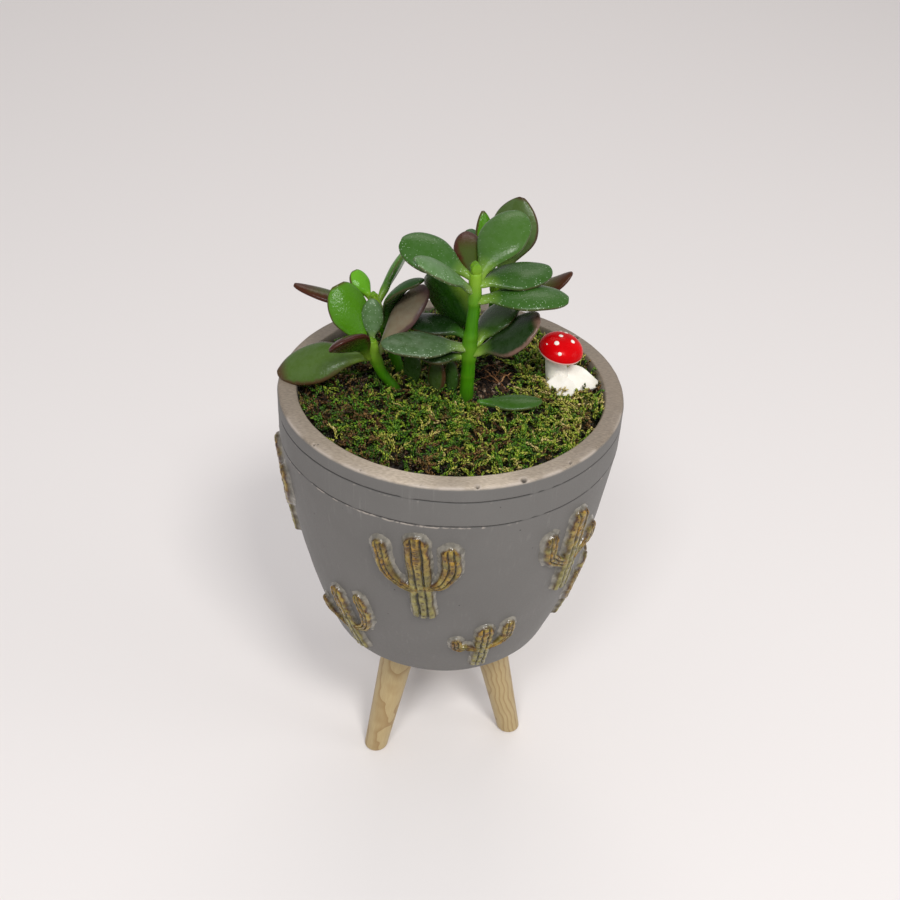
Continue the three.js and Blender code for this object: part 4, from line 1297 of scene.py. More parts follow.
@dataclass
class Moss:
    """A mat of sheet moss: a bed darkened by painted shade under thousands of curled sprigs, each one an axis set with
    leaflets.

    stems, stone, sprouts and fallen are rounds kept clear for what stands or lies in the mat: x, y and radius.
    spilled is the share of sprigs that may hang over the rim.
    """

    patch: BarePatch
    radius: float = 53.0
    edge_drop: float = 2.6
    leaflets: int = 15
    spilled: float = 0.012
    stems: tuple[Row, ...] = ((5.4, -6, 2.0), (-19.5, -0.7, 1.8), (-18.2, 11, 1.7), (14, 33, 1.7))
    stone: tuple[Row, ...] = ((39.6, 7.9, 7.2), (39.5, 2.0, 3.6), (46.5, 8.6, 4.6))
    sprouts: tuple[Row, ...] = ((-14.4, 2.8, 1.5), (-5.6, -2.6, 1.5), (-0.2, -1.6, 1.5))
    fallen: tuple[Row, ...] = ((14, -10.6, 3.4), (19, -10.4, 4.4), (24, -10.2, 4.4), (28.5, -10, 3.2))

    def top(self, x: Array, y: Array) -> Array:
        """Height of the bed: the CAD's lumps, lower at the wall, and down below the soil in the bare patch.

        Args:
            x, y: positions in mm.

        Returns:
            Heights in mm.
        """
        r = np.hypot(x, y)
        height = MOSS_TOP - 1.5 + 0.8 * moss_lumps(x, y) - self.edge_drop * smooth(r, 0.86 * self.radius, self.radius)
        spot = pairs(x, y)
        height = height + 0.8 * clumps(spot) + 0.3 * ripple(spot, 1.6, 71) - 0.3
        return height - 4.6 * smooth(self.patch.depth(x, y), -0.06, 0.14)

    def level(self, x: Array, y: Array) -> Array:
        """Height that the sprigs rise from: the bed, or the soil in the bare patch."""
        return np.maximum(self.top(x, y), SOIL_TOP + 1)

    def bed(self) -> None:
        """Makes the bed under the sprigs in place of the CAD's moss, darkened nearly to black by painted shade."""
        x, y = disc(self.radius, 76, 210)
        spot = pairs(x, y)
        tone = np.clip(0.25 + 0.3 * ripple(spot, 3, 72), 0, 0.6)
        under = np.array([[0.3, SOIL_TOP - 4], [self.radius, SOIL_TOP - 4]])
        tones = np.concatenate([np.zeros((len(under), x.shape[1])), tone[::-1]])
        # Painted shade: the whole bed is mixed 0.9 of the way to near-black.
        marks = {"tone": tones, "shade": np.array(0.9)}
        piece("moss_bed", tubes(lidded(x, y, self.top(x, y), under), marks), MOSS, "moss")

    def dead(self, feet: Array) -> Array:
        """How dead the mat is at places, from 0 to 1: one brown patch at the front."""
        return bell(feet[..., 0] + 8.5, 7.5) * bell(feet[..., 1] + 46, 4.5)

    def wealth(self, kind: MossTuft, feet: Array) -> Array:
        """How much of one kind grows at places, from 0 to 1: browner at the left wall, strawy by the toadstool.

        Args:
            kind: which kind of sprig.
            feet: positions [x, y].

        Returns:
            One share for each position.
        """
        field = ripple(feet, 15, 80) + 1.1 * ripple(feet, 6, 81)
        left = smooth(feet[..., 0], -10, -46) * smooth(feet[..., 1], 24, -10)
        straw = bell(feet[..., 0] - 34, 13) * bell(feet[..., 1] - 2, 18)
        dead = self.dead(feet)
        grown = {
            MossTuft.GREEN: 0.55 + 0.4 * field - 0.3 * left - 0.5 * straw - 0.9 * dead,
            MossTuft.YELLOW: 0.45 - 0.15 * field - 0.25 * left + 0.5 * straw - 0.9 * dead,
            MossTuft.BROWN: 0.38 - 0.4 * field + 0.45 * left + 0.25 * straw + 0.8 * dead,
        }
        return np.clip(grown[kind], 0.04, 1)

    def strew(self, kind: MossTuft, dice: np.random.Generator) -> Array:
        """Feet of the sprigs, thinned out over the bare patch and kept off the stems.

        Args:
            kind: which kind of sprig.
            dice: the source of the random draws.

        Returns:
            Positions [x, y].
        """
        count = kind.value[0] * 4
        r = self.radius * np.sqrt(dice.random(count)) * 0.985
        a = dice.uniform(0, TURN, count)
        feet = pairs(r * np.cos(a), r * np.sin(a))
        free = self.patch.depth(feet[:, 0], feet[:, 1]) < dice.normal(-0.03, 0.06, count)
        for x, y, keep in self.stems + self.stone + self.sprouts + self.fallen:
            free &= np.hypot(feet[:, 0] - x, feet[:, 1] - y) > keep
        dense = 0.62 + 0.38 * clumps(feet)
        free &= dice.random(count) < self.wealth(kind, feet) * dense
        return feet[free][: kind.value[0]]

    def axes(self, feet: Array, length: float, dice: np.random.Generator) -> Array:
        """Points along the sprigs' axes, as sprig, station, xyz: they rise, turn, droop and stay above the bed.

        Args:
            feet: positions [x, y] that they rise from.
            length: the kind's length in mm.
            dice: the source of the random draws.

        Returns:
            Positions as sprig, station, xyz.
        """
        count = len(feet)
        tuft = smooth(clumps(feet), -0.8, 0.9)
        long = length * dice.uniform(0.5, 1.2, count) * (0.7 + 0.5 * tuft)
        turn, curl = dice.uniform(0, 360, count), dice.normal(0, 75, count)
        lean = np.clip(dice.normal(30, 26, count) + 26 * tuft, 2, 88)
        droop = dice.uniform(10, 75, count)
        t = np.linspace(0, 1, 5)
        step = heading(turn[:, None] + curl[:, None] * t, lean[:, None] - droop[:, None] * t)
        line = np.cumsum(np.concatenate([np.zeros((count, 1, 3)), step[:, :-1]], 1), 1) * (long / 4)[:, None, None]
        foot_z = self.top(feet[:, 0], feet[:, 1]) - 0.4 + 0.9 * tuft * dice.random(count)
        line = line + np.column_stack([feet, foot_z])[:, None]
        spill = dice.random(count) < self.spilled
        over = np.maximum(1, np.hypot(line[..., 0], line[..., 1]) / (self.radius - 0.4))
        line[..., :2] /= np.where(spill[:, None], 1, over)[..., None]
        reach = np.hypot(line[..., 0], line[..., 1])
        bare = self.patch.depth(line[..., 0], line[..., 1]) > 0
        bed = np.where(bare, SOIL_TOP + 1.2, self.top(line[..., 0], line[..., 1])) + 0.2
        line[..., 2] = np.clip(line[..., 2], bed, GROUND_TO_RIM - 0.4 + 1.4 * (reach > self.radius))
        return line

    def sprigs(self, kind: MossTuft, seed: int) -> None:
        """Makes one kind of sprig: thin axes, and pointed leaflets that stand off them at 12 to 38 degrees.

        Args:
            kind: which kind of sprig.
            seed: the seed of its random draws.
        """
        dice = np.random.default_rng(seed)
        _, length, tone = kind.value
        feet = self.strew(kind, dice)
        line = self.axes(feet, length, dice)
        count, stations = len(feet), line.shape[1]
        ahead = unit(np.gradient(line, axis=1))
        across = unit(np.cross(ahead, Z_AXIS) + 1e-6)
        up = np.cross(across, ahead)
        thin = 0.17 * np.linspace(1, 0.5, stations)
        left, right = smooth(feet[:, 0], -6, -40), smooth(feet[:, 0], 14, 44)
        drift = 0.08 * right - 0.12 * left - 0.1 * self.dead(feet)
        own = np.clip(tone + drift + 0.08 * dice.normal(size=count) + 0.1 * ripple(feet, 7, 83), 0.02, 0.98)
        t = np.linspace(0, 1, stations)
        # Painted shade along the axes: darker towards their roots in the mat.
        marks = {"tone": own[:, None, None] - 0.12, "shade": (0.95 - 0.45 * t)[:, None]}
        stalks = tubes(around(line, thin, thin, 3, across, up), marks)
        k = self.leaflets
        at = np.linspace(0.08, 1.0, k)
        index = np.minimum((at * (stations - 1)).astype(int), stations - 2)
        part = (at * (stations - 1) - index)[None, :, None]
        root = line[:, index] * (1 - part) + line[:, index + 1] * part
        way, side, lift = ahead[:, index], across[:, index], up[:, index]
        angle = np.arange(k) * 2.4 + dice.uniform(0, TURN, (count, 1))
        out = side * np.cos(angle)[..., None] + lift * np.sin(angle)[..., None]
        splay = np.radians(dice.uniform(12, 38, (count, k)))[..., None] * (1 - 0.5 * at[None, :, None])
        lean = way * np.cos(splay) + out * np.sin(splay)
        size = dice.uniform(1.3, 2.2, (count, k)) * (1.05 - 0.35 * at)
        tip = root + lean * size[..., None]
        wide = unit(np.cross(lean, way + 0.01))
        raised = np.cross(lean, wide) * (0.14 * size)[..., None]
        middle, spread = root + lean * (0.42 * size)[..., None] + raised, wide * (0.26 * size)[..., None]
        tones = np.clip(own[:, None] + 0.04 * dice.normal(size=(count, k)) + 0.1 * (at - 0.5), 0, 1)
        # Painted shade: leaflets are darker the less they stand proud of the bed, the nearer the axis' root, and in the
        # hollows between clumps and in broad patches; a random darkness per sprig, the dead patch and the left side add
        # more.
        proud = tip[..., 2] - self.level(tip[..., 0], tip[..., 1])
        spot = root[..., :2]
        hollow = 0.5 * smooth(clumps(spot), 0.4, -0.6) + 0.2 * ripple(spot, 9, 84) + 0.4 * self.dead(spot)
        own_shade = 0.3 * dice.normal(size=(count, 1)) + 0.06 * dice.normal(size=(count, k)) + 0.1 * left[:, None]
        shades = np.clip(1.4 - 0.55 * proud - 0.15 * at + hollow + own_shade, 0, 0.97)
        corners = [corner.reshape(-1, 3) for corner in (root, tip, middle + spread, middle - spread)]
        leafy = slivers(corners, {"tone": tones.ravel(), "shade": shades.ravel()})
        name = kind.name.lower()
        piece(f"moss_axes_{name}", stalks, MOSS)
        piece(f"moss_leaflets_{name}", leafy, MOSS)

    def build(self) -> None:
        """Makes the bed and the three kinds of sprig."""
        self.bed()
        for i, kind in enumerate(MossTuft):
            self.sprigs(kind, 200 + 10 * i)


# ---------------------------------------------------------------- plant


@dataclass
class Stem:
    """A succulent stem: rows [x, y, z, radius] from the foot to the tip, with swollen nodes where leaves sit."""

    name: str
    rows: tuple[Row, ...]
    bud: tuple[float, float, float] = (5.6, 3.4, 1.5)
    sides: int = 28
    steps: int = 90

    def at(self, z: Array) -> tuple[Array, Array]:
        """Centres and radii at heights, straight between the rows as in the CAD.

        Args:
            z: heights.

        Returns:
            Centres, with xyz last, and radii.
        """
        rows = np.array(self.rows)
        x, y, r = (np.interp(z, rows[:, 2], rows[:, k]) for k in (0, 1, 3))
        return np.stack([x, y, np.broadcast_to(z, np.shape(x))], -1), r

    def bud_blades(self) -> Shape:
        """The closed bud: two pairs of young leaves, the outer pair folded over the inner.

        Returns:
            The four leaves in one mesh.
        """
        length, width, thick = self.bud
        tip = np.array(self.rows[-1][:3])
        shapes = []
        leaves = (12, 70, 26, 1.0), (192, 72, 24, 0.92), (102, 80, 6, 0.74), (282, 80, 6, 0.7)
        for azimuth, rise, bend, size in leaves:
            leaf = Blade(azimuth, rise, bend, length * size, width * size, thick, point=0.7, stations=15, sides=16)
            young = leaf.shape(tip + heading(azimuth) * 0.6 - [0, 0, 1.5], None)
            marks = {"node": 0.95 - 0.55 * young.marks["along"], "foot": 0.35 * smooth(young.marks["along"], 0.8, 1)}
            shapes.append(Shape(young.points, young.faces, marks))
        return reduce(Shape.joined, shapes)

    def build(self, nodes: list[float]) -> None:
        """Makes the stem in place of its CAD node.

        The radius follows the rows, swells by 0.35 mm at each node and by 0.1 mm at the scars between them.

        Args:
            nodes: heights at which leaves are seated.
        """
        z = np.linspace(self.rows[0][2], self.rows[-1][2], self.steps)
        centre, radius = self.at(z)
        kernel = np.ones(7) / 7
        for k in (0, 1):
            centre[:, k] = np.convolve(np.pad(centre[:, k], 3, mode="edge"), kernel, "valid")
        swell = bell(z[:, None] - np.array(nodes), 1.6).sum(-1)
        scars = np.exp(-((((z - 3.0) % 13.5) - 6.7) ** 2) / 0.08)
        radius = radius + 0.35 * np.clip(swell, 0, 1) + 0.1 * scars
        rings = around(centre, radius, radius, self.sides)
        rings = rings + (rings - centre[:, None]) * (0.035 * ripple(rings, 5, 90))[..., None]
        top = self.rows[-1][2]
        node = np.clip(swell * 0.14 + 0.25 * scars, 0, 1)
        node = np.maximum(node, smooth(z, top - 13, top - 2) * 0.75)
        foot = smooth(z, MOSS_TOP + 9, MOSS_TOP)
        marks = {"node": node[:, None], "foot": foot[:, None] * 0.6}
        body = tubes(rings, marks).joined(self.bud_blades())
        piece(f"{self.name}_skin", body, STEM, self.name)


class Outline(Enum):
    """Outlines of a blade: share of the width at the neck, start of widening, widest place, and slowness at first."""

    TAPERED = (0.2, 0.0, 0.56, 1.7)
    OVAL = (0.3, 0.1, 0.5, 1.0)
    BROAD = (0.6, 0.0, 0.45, 1.0)


@dataclass(frozen=True)
class Form:
    """What sets a leaf's form apart: its outline, how far its sides curl up, and how much it is rolled at the neck."""

    outline: Outline = Outline.TAPERED
    cup: float = 0.12
    lead: float = 0.0


@dataclass
class Blade:
    """A thick cupped crassula leaf, as the CAD makes it: angles in degrees, sizes in mm."""

    azimuth: float
    rise: float
    bend: float
    length: float
    width: float
    thickness: float = 3.2
    roll: float = 0.0
    swing: float = 0.0
    point: float = 0.5
    stations: int = 40
    sides: int = 32
    neck_rings: int = 6
    seed: int = 1
    # How dark the whole leaf is painted: its own green, and painted shade for leaves that lie under others.
    tone: float = 1.0
    form: Form = Form()

    def half_width(self, u: Array) -> Array:
        """Half the width along the leaf: a sine from the neck to the widest place, then a rounded end.

        Args:
            u: shares of the leaf's length.

        Returns:
            Half widths in mm.
        """
        neck, start, widest, slow = self.form.outline.value
        rising = neck + (1 - neck) * np.sin(np.pi / 2 * np.clip((u - start) / (widest - start), 0, 1)) ** slow
        ending = np.clip(1 - (np.clip((u - widest) / (1 - widest), 0, 1)) ** 2.1, 0, 1) ** self.point
        return self.width / 2 * np.where(u < widest, rising, ending)

    def shape(self, seat: Array, stem_point: Array | None) -> Shape:
        """The blade as a closed tube of flattened rings.

        The middle line leaves the seat along azimuth and rise and turns evenly by bend and swing. Each ring is an
        ellipse as wide as the blade, lifted at both sides by the cup, with a faint groove along the upper middle.

        Args:
            seat: where the blade starts.
            stem_point: a point inside the stem that the neck curves back to, if it has one.

        Returns:
            The shape, with marks along (0 to 1), edge (mm in from the outline), upper (1 above, 0 below) and tone,
            which darkens the leaf with its own green and with painted shade.
        """
        fine = 400
        u = np.linspace(0, 1, fine)
        ahead = heading(self.azimuth + self.swing * u, self.rise + self.bend * u)
        steps = (ahead[1:] + ahead[:-1]) / 2 * (self.length / (fine - 1))
        line = np.vstack([np.zeros(3), np.cumsum(steps, 0)]) + seat
        s = np.sin(np.pi / 2 * np.linspace(0, 1, self.stations)) * 0.985
        centre = np.stack([np.interp(s, u, line[:, k]) for k in range(3)], -1)
        forward = heading(self.azimuth + self.swing * s, self.rise + self.bend * s)
        level = heading(self.azimuth + self.swing * s + 90)
        turn = np.radians(self.roll) * np.minimum(1, self.form.lead + s / 0.3)
        other = np.cross(level, forward)
        side = level * np.cos(turn)[:, None] + other * np.sin(turn)[:, None]
        half = self.half_width(s)
        flare = pairs(s * self.length, np.full_like(s, self.azimuth))
        half = half * (1 + 0.009 * ripple(flare, 14, self.seed))
        taper = np.sqrt(1 - np.clip((s - 0.5) / 0.52, 0, 1) ** 2)
        thick = self.thickness / 2 * np.minimum(1, 0.75 + 0.5 * s) * taper
        if stem_point is not None:
            more = self.neck_rings
            grow = np.linspace(0.8, 0.98, more)
            t = np.linspace(0, 1, more + 1)[:-1, None]
            pull = seat - forward[0] * (0.6 * np.linalg.norm(seat - stem_point))
            neck = (1 - t) ** 2 * stem_point + 2 * t * (1 - t) * pull + t**2 * seat
            centre = np.vstack([neck, centre])
            forward = unit(np.gradient(centre, axis=0))
            side = np.vstack([np.repeat(side[:1], more, 0), side])
            side = unit(side - (side * forward).sum(-1, keepdims=True) * forward)
            half = np.concatenate([half[0] * grow, half])
            thick = np.concatenate([thick[0] * grow, thick])
            s = np.concatenate([np.zeros(more), s])
        normal = unit(np.cross(side, forward))
        angle = np.arange(self.sides) / self.sides * TURN
        cos, sin = np.cos(angle), np.sin(angle)
        wide = half[:, None] * cos
        lift = thick[:, None] * np.sign(sin) * np.abs(sin) ** 0.85
        lift = lift + self.form.cup * half[:, None] * cos**2
        groove = bell(cos, 0.16) * smooth(sin, 0, 0.6) * 0.16 * smooth(s, 0.95, 0.3)[:, None]
        spot = pairs(wide, np.repeat(s[:, None] * self.length, self.sides, 1))
        lift = lift - groove + 0.06 * ripple(spot, 9, self.seed + 1) * smooth(s, 0, 0.2)[:, None]
        rings = centre[:, None] + side[:, None] * wide[..., None] + normal[:, None] * lift[..., None]
        inward = np.minimum((1 - np.abs(cos)) * half[:, None], (1.0 - s[:, None]) * self.length * 0.8)
        upper = smooth(sin, -0.25, 0.25)
        return tubes(rings, {"along": s[:, None], "edge": inward, "upper": upper, "tone": np.array(self.tone)})


@dataclass
class Crassula:
    """The plant: four shoots and their leaves, the sprouts at their feet and a fallen leaf.

    neck_dip and node_dip are how far below its seat an upright leaf's neck starts and its node swells.
    """

    thickness: float = 3.2
    seat_gap: float = 0.35
    neck_dip: float = 2.2
    node_dip: float = 1.2
    forms: ClassVar[dict[str, Form]] = {
        "leaf_mid_left": Form(Outline.BROAD, 0.1, 1.0),
        "leaf_mid_right_large": Form(Outline.OVAL),
        "leaf_top_right_dark": Form(Outline.OVAL),
        "leaf_low_right": Form(Outline.OVAL),
        "leaf_low_right_rear": Form(Outline.OVAL, 0.05),
        "leaf_low_left_long": Form(Outline.OVAL),
        "leaf_low_left_rear": Form(Outline.OVAL),
        "leaf_shoot_narrow": Form(Outline.OVAL),
        "leaf_shoot_left_long": Form(Outline.TAPERED, 0.2),
        "leaf_shoot_bright": Form(Outline.TAPERED, 0.2),
        "leaf_top_upright": Form(Outline.TAPERED, 0.16),
    }

    def stems(self) -> dict[str, Stem]:
        """The shoots by name.

        Returns:
            The four stems.
        """
        rows = {
            "main": ((5, -6.2, 140, 2.4), (5.4, -6, 160.8, 2.4), (5.5, -6, 182, 2.3), (6.3, -6, 200.8, 1.9),
                     (6, -6, 210, 1.7)),
            "front_left": ((-17.5, 0.5, 140, 2.2), (-19.5, -0.7, 160.8, 2.2), (-24.2, -2.4, 168, 2.1),
                           (-27, -3, 175.5, 2), (-27.6, -3, 181, 1.6)),
            "rear_left": ((-16.5, 11, 140, 2), (-18.2, 11, 160.2, 2), (-21.7, 10.8, 170, 1.9),
                          (-25, 10.6, 179.5, 1.8), (-28, 10.5, 191, 1.4)),
            "rear_right": ((14.2, 35, 140, 2), (14, 33, 160.8, 2), (13.8, 30, 176, 1.8), (13.9, 27.8, 193, 1.5)),
        }
        small = (2.6, 2.0, 1.1)
        return {
            name: Stem(f"stem_{name}", points) if name == "main" else Stem(f"stem_{name}", points, small)
            for name, points in rows.items()
        }

    def leaves(self) -> list[tuple]:
        """Rows of name, stem, seat height, azimuth, rise, bend, length, width, roll, swing, point, tone, skin, slot.

        Returns:
            One row for each leaf.
        """
        # tone darkens the whole leaf: partly its own green, partly painted shade for leaves deep under others, such as
        # leaf_low_left_under and leaf_low_right.
        return [
            ("leaf_top_left_large", "main", 208.8, -104, 30, -22, 24.5, 15.6, 22, 0, 0.5, 0.74, Skin.GREEN,
             "leaf_green"),
            ("leaf_top_left_front", "main", 205, -51, 49, -26, 26.5, 11.4, 17, -1, 0.5, 1.15, Skin.DUSTY, "leaf_dusty"),
            ("leaf_top_rear_red", "main", 204.6, -169, 45, -33, 20.5, 10.4, 2, -1, 0.5, 0.7, Skin.RED, "leaf_red"),
            ("leaf_mid_left", "main", 200.4, -141, -42, 50, 25.5, 22.4, -70, 0, 0.55, 0.5, Skin.LIVELY, "leaf_green"),
            ("leaf_mid_right_large", "main", 200.5, 89, 17, -27, 28.5, 16.2, -2, 0, 0.5, 0.7, Skin.GREEN, "leaf_green"),
            ("leaf_top_upright", "main", 207.8, 147, 49, -33, 27, 16.6, -5, -1, 0.45, 0.6, Skin.LIVELY, "leaf_green"),
            ("leaf_top_right_dark", "main", 205.8, 117, 4, -4, 25.6, 16.2, -3, -1, 0.5, 0.64, Skin.GREEN, "leaf_green"),
            ("leaf_low_right_rear", "main", 183.6, 136, 33, -9, 20.5, 16.6, 20, 0, 0.55, 0.34, Skin.LIVELY,
             "leaf_green"),
            ("leaf_low_right", "main", 181, 87, 31, 14, 24.5, 17.4, -12, 0, 0.55, 0.2, Skin.RIMMED, "leaf_green"),
            ("leaf_low_left_long", "main", 182.4, -77, 16, -20, 27.5, 15.2, 3, 0, 0.6, 0.62, Skin.DUSTY, "leaf_dusty"),
            ("leaf_low_left_under", "main", 178.4, -84, 3, -2, 14, 10, -4, 0, 0.55, 0.2, Skin.LIVELY, "leaf_green"),
            ("leaf_low_left_rear", "main", 186.4, -121, 4, -18, 24, 13.4, 0, 0, 0.55, 0.28, Skin.SHADED, "leaf_green"),
            ("leaf_shoot_left_long", "front_left", 174.2, -93, -1, -32, 33.5, 16.6, 27, 1, 0.6, 0.56, Skin.OLIVE,
             "leaf_olive"),
            ("leaf_shoot_front_red", "front_left", 176.6, -31, 66, -70, 25, 12, -45, 0, 0.6, 1.0, Skin.MAROON,
             "leaf_red"),
            ("leaf_shoot_bright", "front_left", 177.6, -126, 64, -12, 23, 14.8, 15, 0, 0.45, 0.6, Skin.BRIGHT,
             "leaf_bright"),
            ("leaf_shoot_narrow", "front_left", 179.6, 184, 74, -4, 14, 7.6, 2, 0, 0.6, 0.95, Skin.DUSTY, "leaf_green"),
            ("leaf_shoot_bronze", "front_left", 177, 119, 62, -22, 26.5, 13.6, -1, 0, 0.45, 0.88, Skin.BRONZE,
             "leaf_bronze"),
            ("leaf_rear_left_thin", "rear_left", 185.6, -100, 8, 4, 28.5, 9.4, -13, 0, 0.6, 0.7, Skin.RED, "leaf_red"),
            ("leaf_rear_left_small", "rear_left", 188.9, -130, 42, 7, 10.8, 7.8, 0, 0, 0.5, 1.0, Skin.BRIGHT,
             "leaf_bright"),
            ("leaf_rear_left_upright", "rear_left", 187.9, 155, 43, -24, 22.5, 9, 67, -5, 0.5, 1.0, Skin.LIVELY,
             "leaf_olive"),
            ("leaf_rear_left_dark", "rear_left", 181.5, 42, 90, -70, 27.5, 9.6, 0, 26, 0.5, 0.9, Skin.SHADED,
             "leaf_green"),
            ("leaf_rear_right_pointed", "rear_right", 191.6, 145, 67, 4, 27.5, 18.4, -4, 0, 0.8, 0.4, Skin.POINTED,
             "leaf_olive"),
            ("leaf_rear_right_small", "rear_right", 190.8, -139, 73, 3, 23, 8.4, -3, 0, 0.8, 0.6, Skin.BRIGHT,
             "leaf_bright"),
            ("leaf_rear_right_red_tip", "rear_right", 186.5, 77, -4, 54, 28, 11.2, -6, 0, 0.6, 1.0, Skin.RED,
             "leaf_red"),
            ("leaf_rear_right_back", "rear_right", 188.4, 205, 20, 8, 24, 13, 0, 0, 0.55, 0.8, Skin.SHADED,
             "leaf_green"),
        ]

    def build(self) -> None:
        """Makes the stems with their leaves, then the sprouts and the fallen leaf."""
        stems = self.stems()
        seats: dict[str, list[float]] = {name: [] for name in stems}
        for i, row in enumerate(self.leaves()):
            name, stem, height, azimuth, rise, bend, length, width, roll, swing, point, tone, skin, slot = row
            centre, radius = stems[stem].at(np.array(height))
            slope = math.sin(math.radians(rise))
            seat = centre + heading(azimuth) * (radius + self.seat_gap + self.thickness / 2 * 0.75 * abs(slope))
            inside = centre + heading(azimuth) * radius * 0.5 - [0, 0, self.neck_dip * slope]
            blade = Blade(azimuth, rise, bend, length, width, self.thickness, roll, swing, point)
            blade.seed, blade.tone, blade.form = 300 + 3 * i, tone, self.forms.get(name, Form())
            seats[stem].append(height - self.node_dip * slope)
            piece(f"{name}_blade", blade.shape(seat, inside), skin.value, name)
        for name, stem in stems.items():
            stem.build(seats[name])
        self.sprouts()
        fallen = Blade(93, 3, 0, 22.5, 9.4, 2.6, point=0.6, seed=400, tone=0.62)
        shape = fallen.shape(np.array([9.2, -10.8, 163.2]), None)
        piece("fallen_blade", shape, Skin.FALLEN.value, "fallen_leaf")

    def sprouts(self) -> None:
        """Makes the three young leaves that stand in the moss at the foot of the stems."""
        # The low tones paint the sprouts darker: painted shade under the leaves above them.
        rows = (
            ("sprout_left", -14.4, 2.8, 150, 84, 4, 15.5, 7.4, 0.4, Skin.LIVELY, "leaf_green"),
            ("sprout_mid", -5.6, -2.6, 150, 86, 2, 16.5, 7.2, 0.3, Skin.OLIVE, "leaf_bronze"),
            ("sprout_right", -0.2, -1.6, 140, 88, 4, 16, 6.4, 0.4, Skin.LIVELY, "leaf_green"),
        )
        for i, (name, x, y, azimuth, rise, bend, length, width, tone, skin, slot) in enumerate(rows):
            blade = Blade(azimuth, rise, bend, length, width, 1.8, stations=30, sides=28, seed=420 + i, tone=tone)
            shape = blade.shape(np.array([x, y, 157.6]), None)
            piece(f"{name}_blade", shape, skin.value, name)


class Block(Enum):
    """Hewn blocks at the stalk's foot: the face's corners, its azimuth and rise in degrees, and the block's depth."""

    FRONT = (
        (
            (37.9, 4.9, 166.8), (35.6, 4.4, 165.8), (33.1, 3.1, 163.9), (33.7, 1.4, 162.2), (37.1, -0.2, 161.0),
            (40.3, -1.4, 160.4), (42.8, -0.7, 161.7), (45.1, 0.6, 163.5), (41.3, 3.2, 165.6),
        ),
        -10,
        42,
        7.0,
    )
    RIGHT = (
        (
            (40.3, 9.3, 165.6), (42.2, 11.8, 166.4), (44.3, 12.4, 166.0), (46.5, 12.5, 165.1), (50.5, 11.0, 162.5),
            (52.3, 10.2, 161.2), (51.7, 7.9, 159.9), (47.1, 5.1, 160.0), (43.8, 3.9, 160.5), (40.4, 6.6, 163.6),
        ),
        32,
        52,
        5.5,
    )


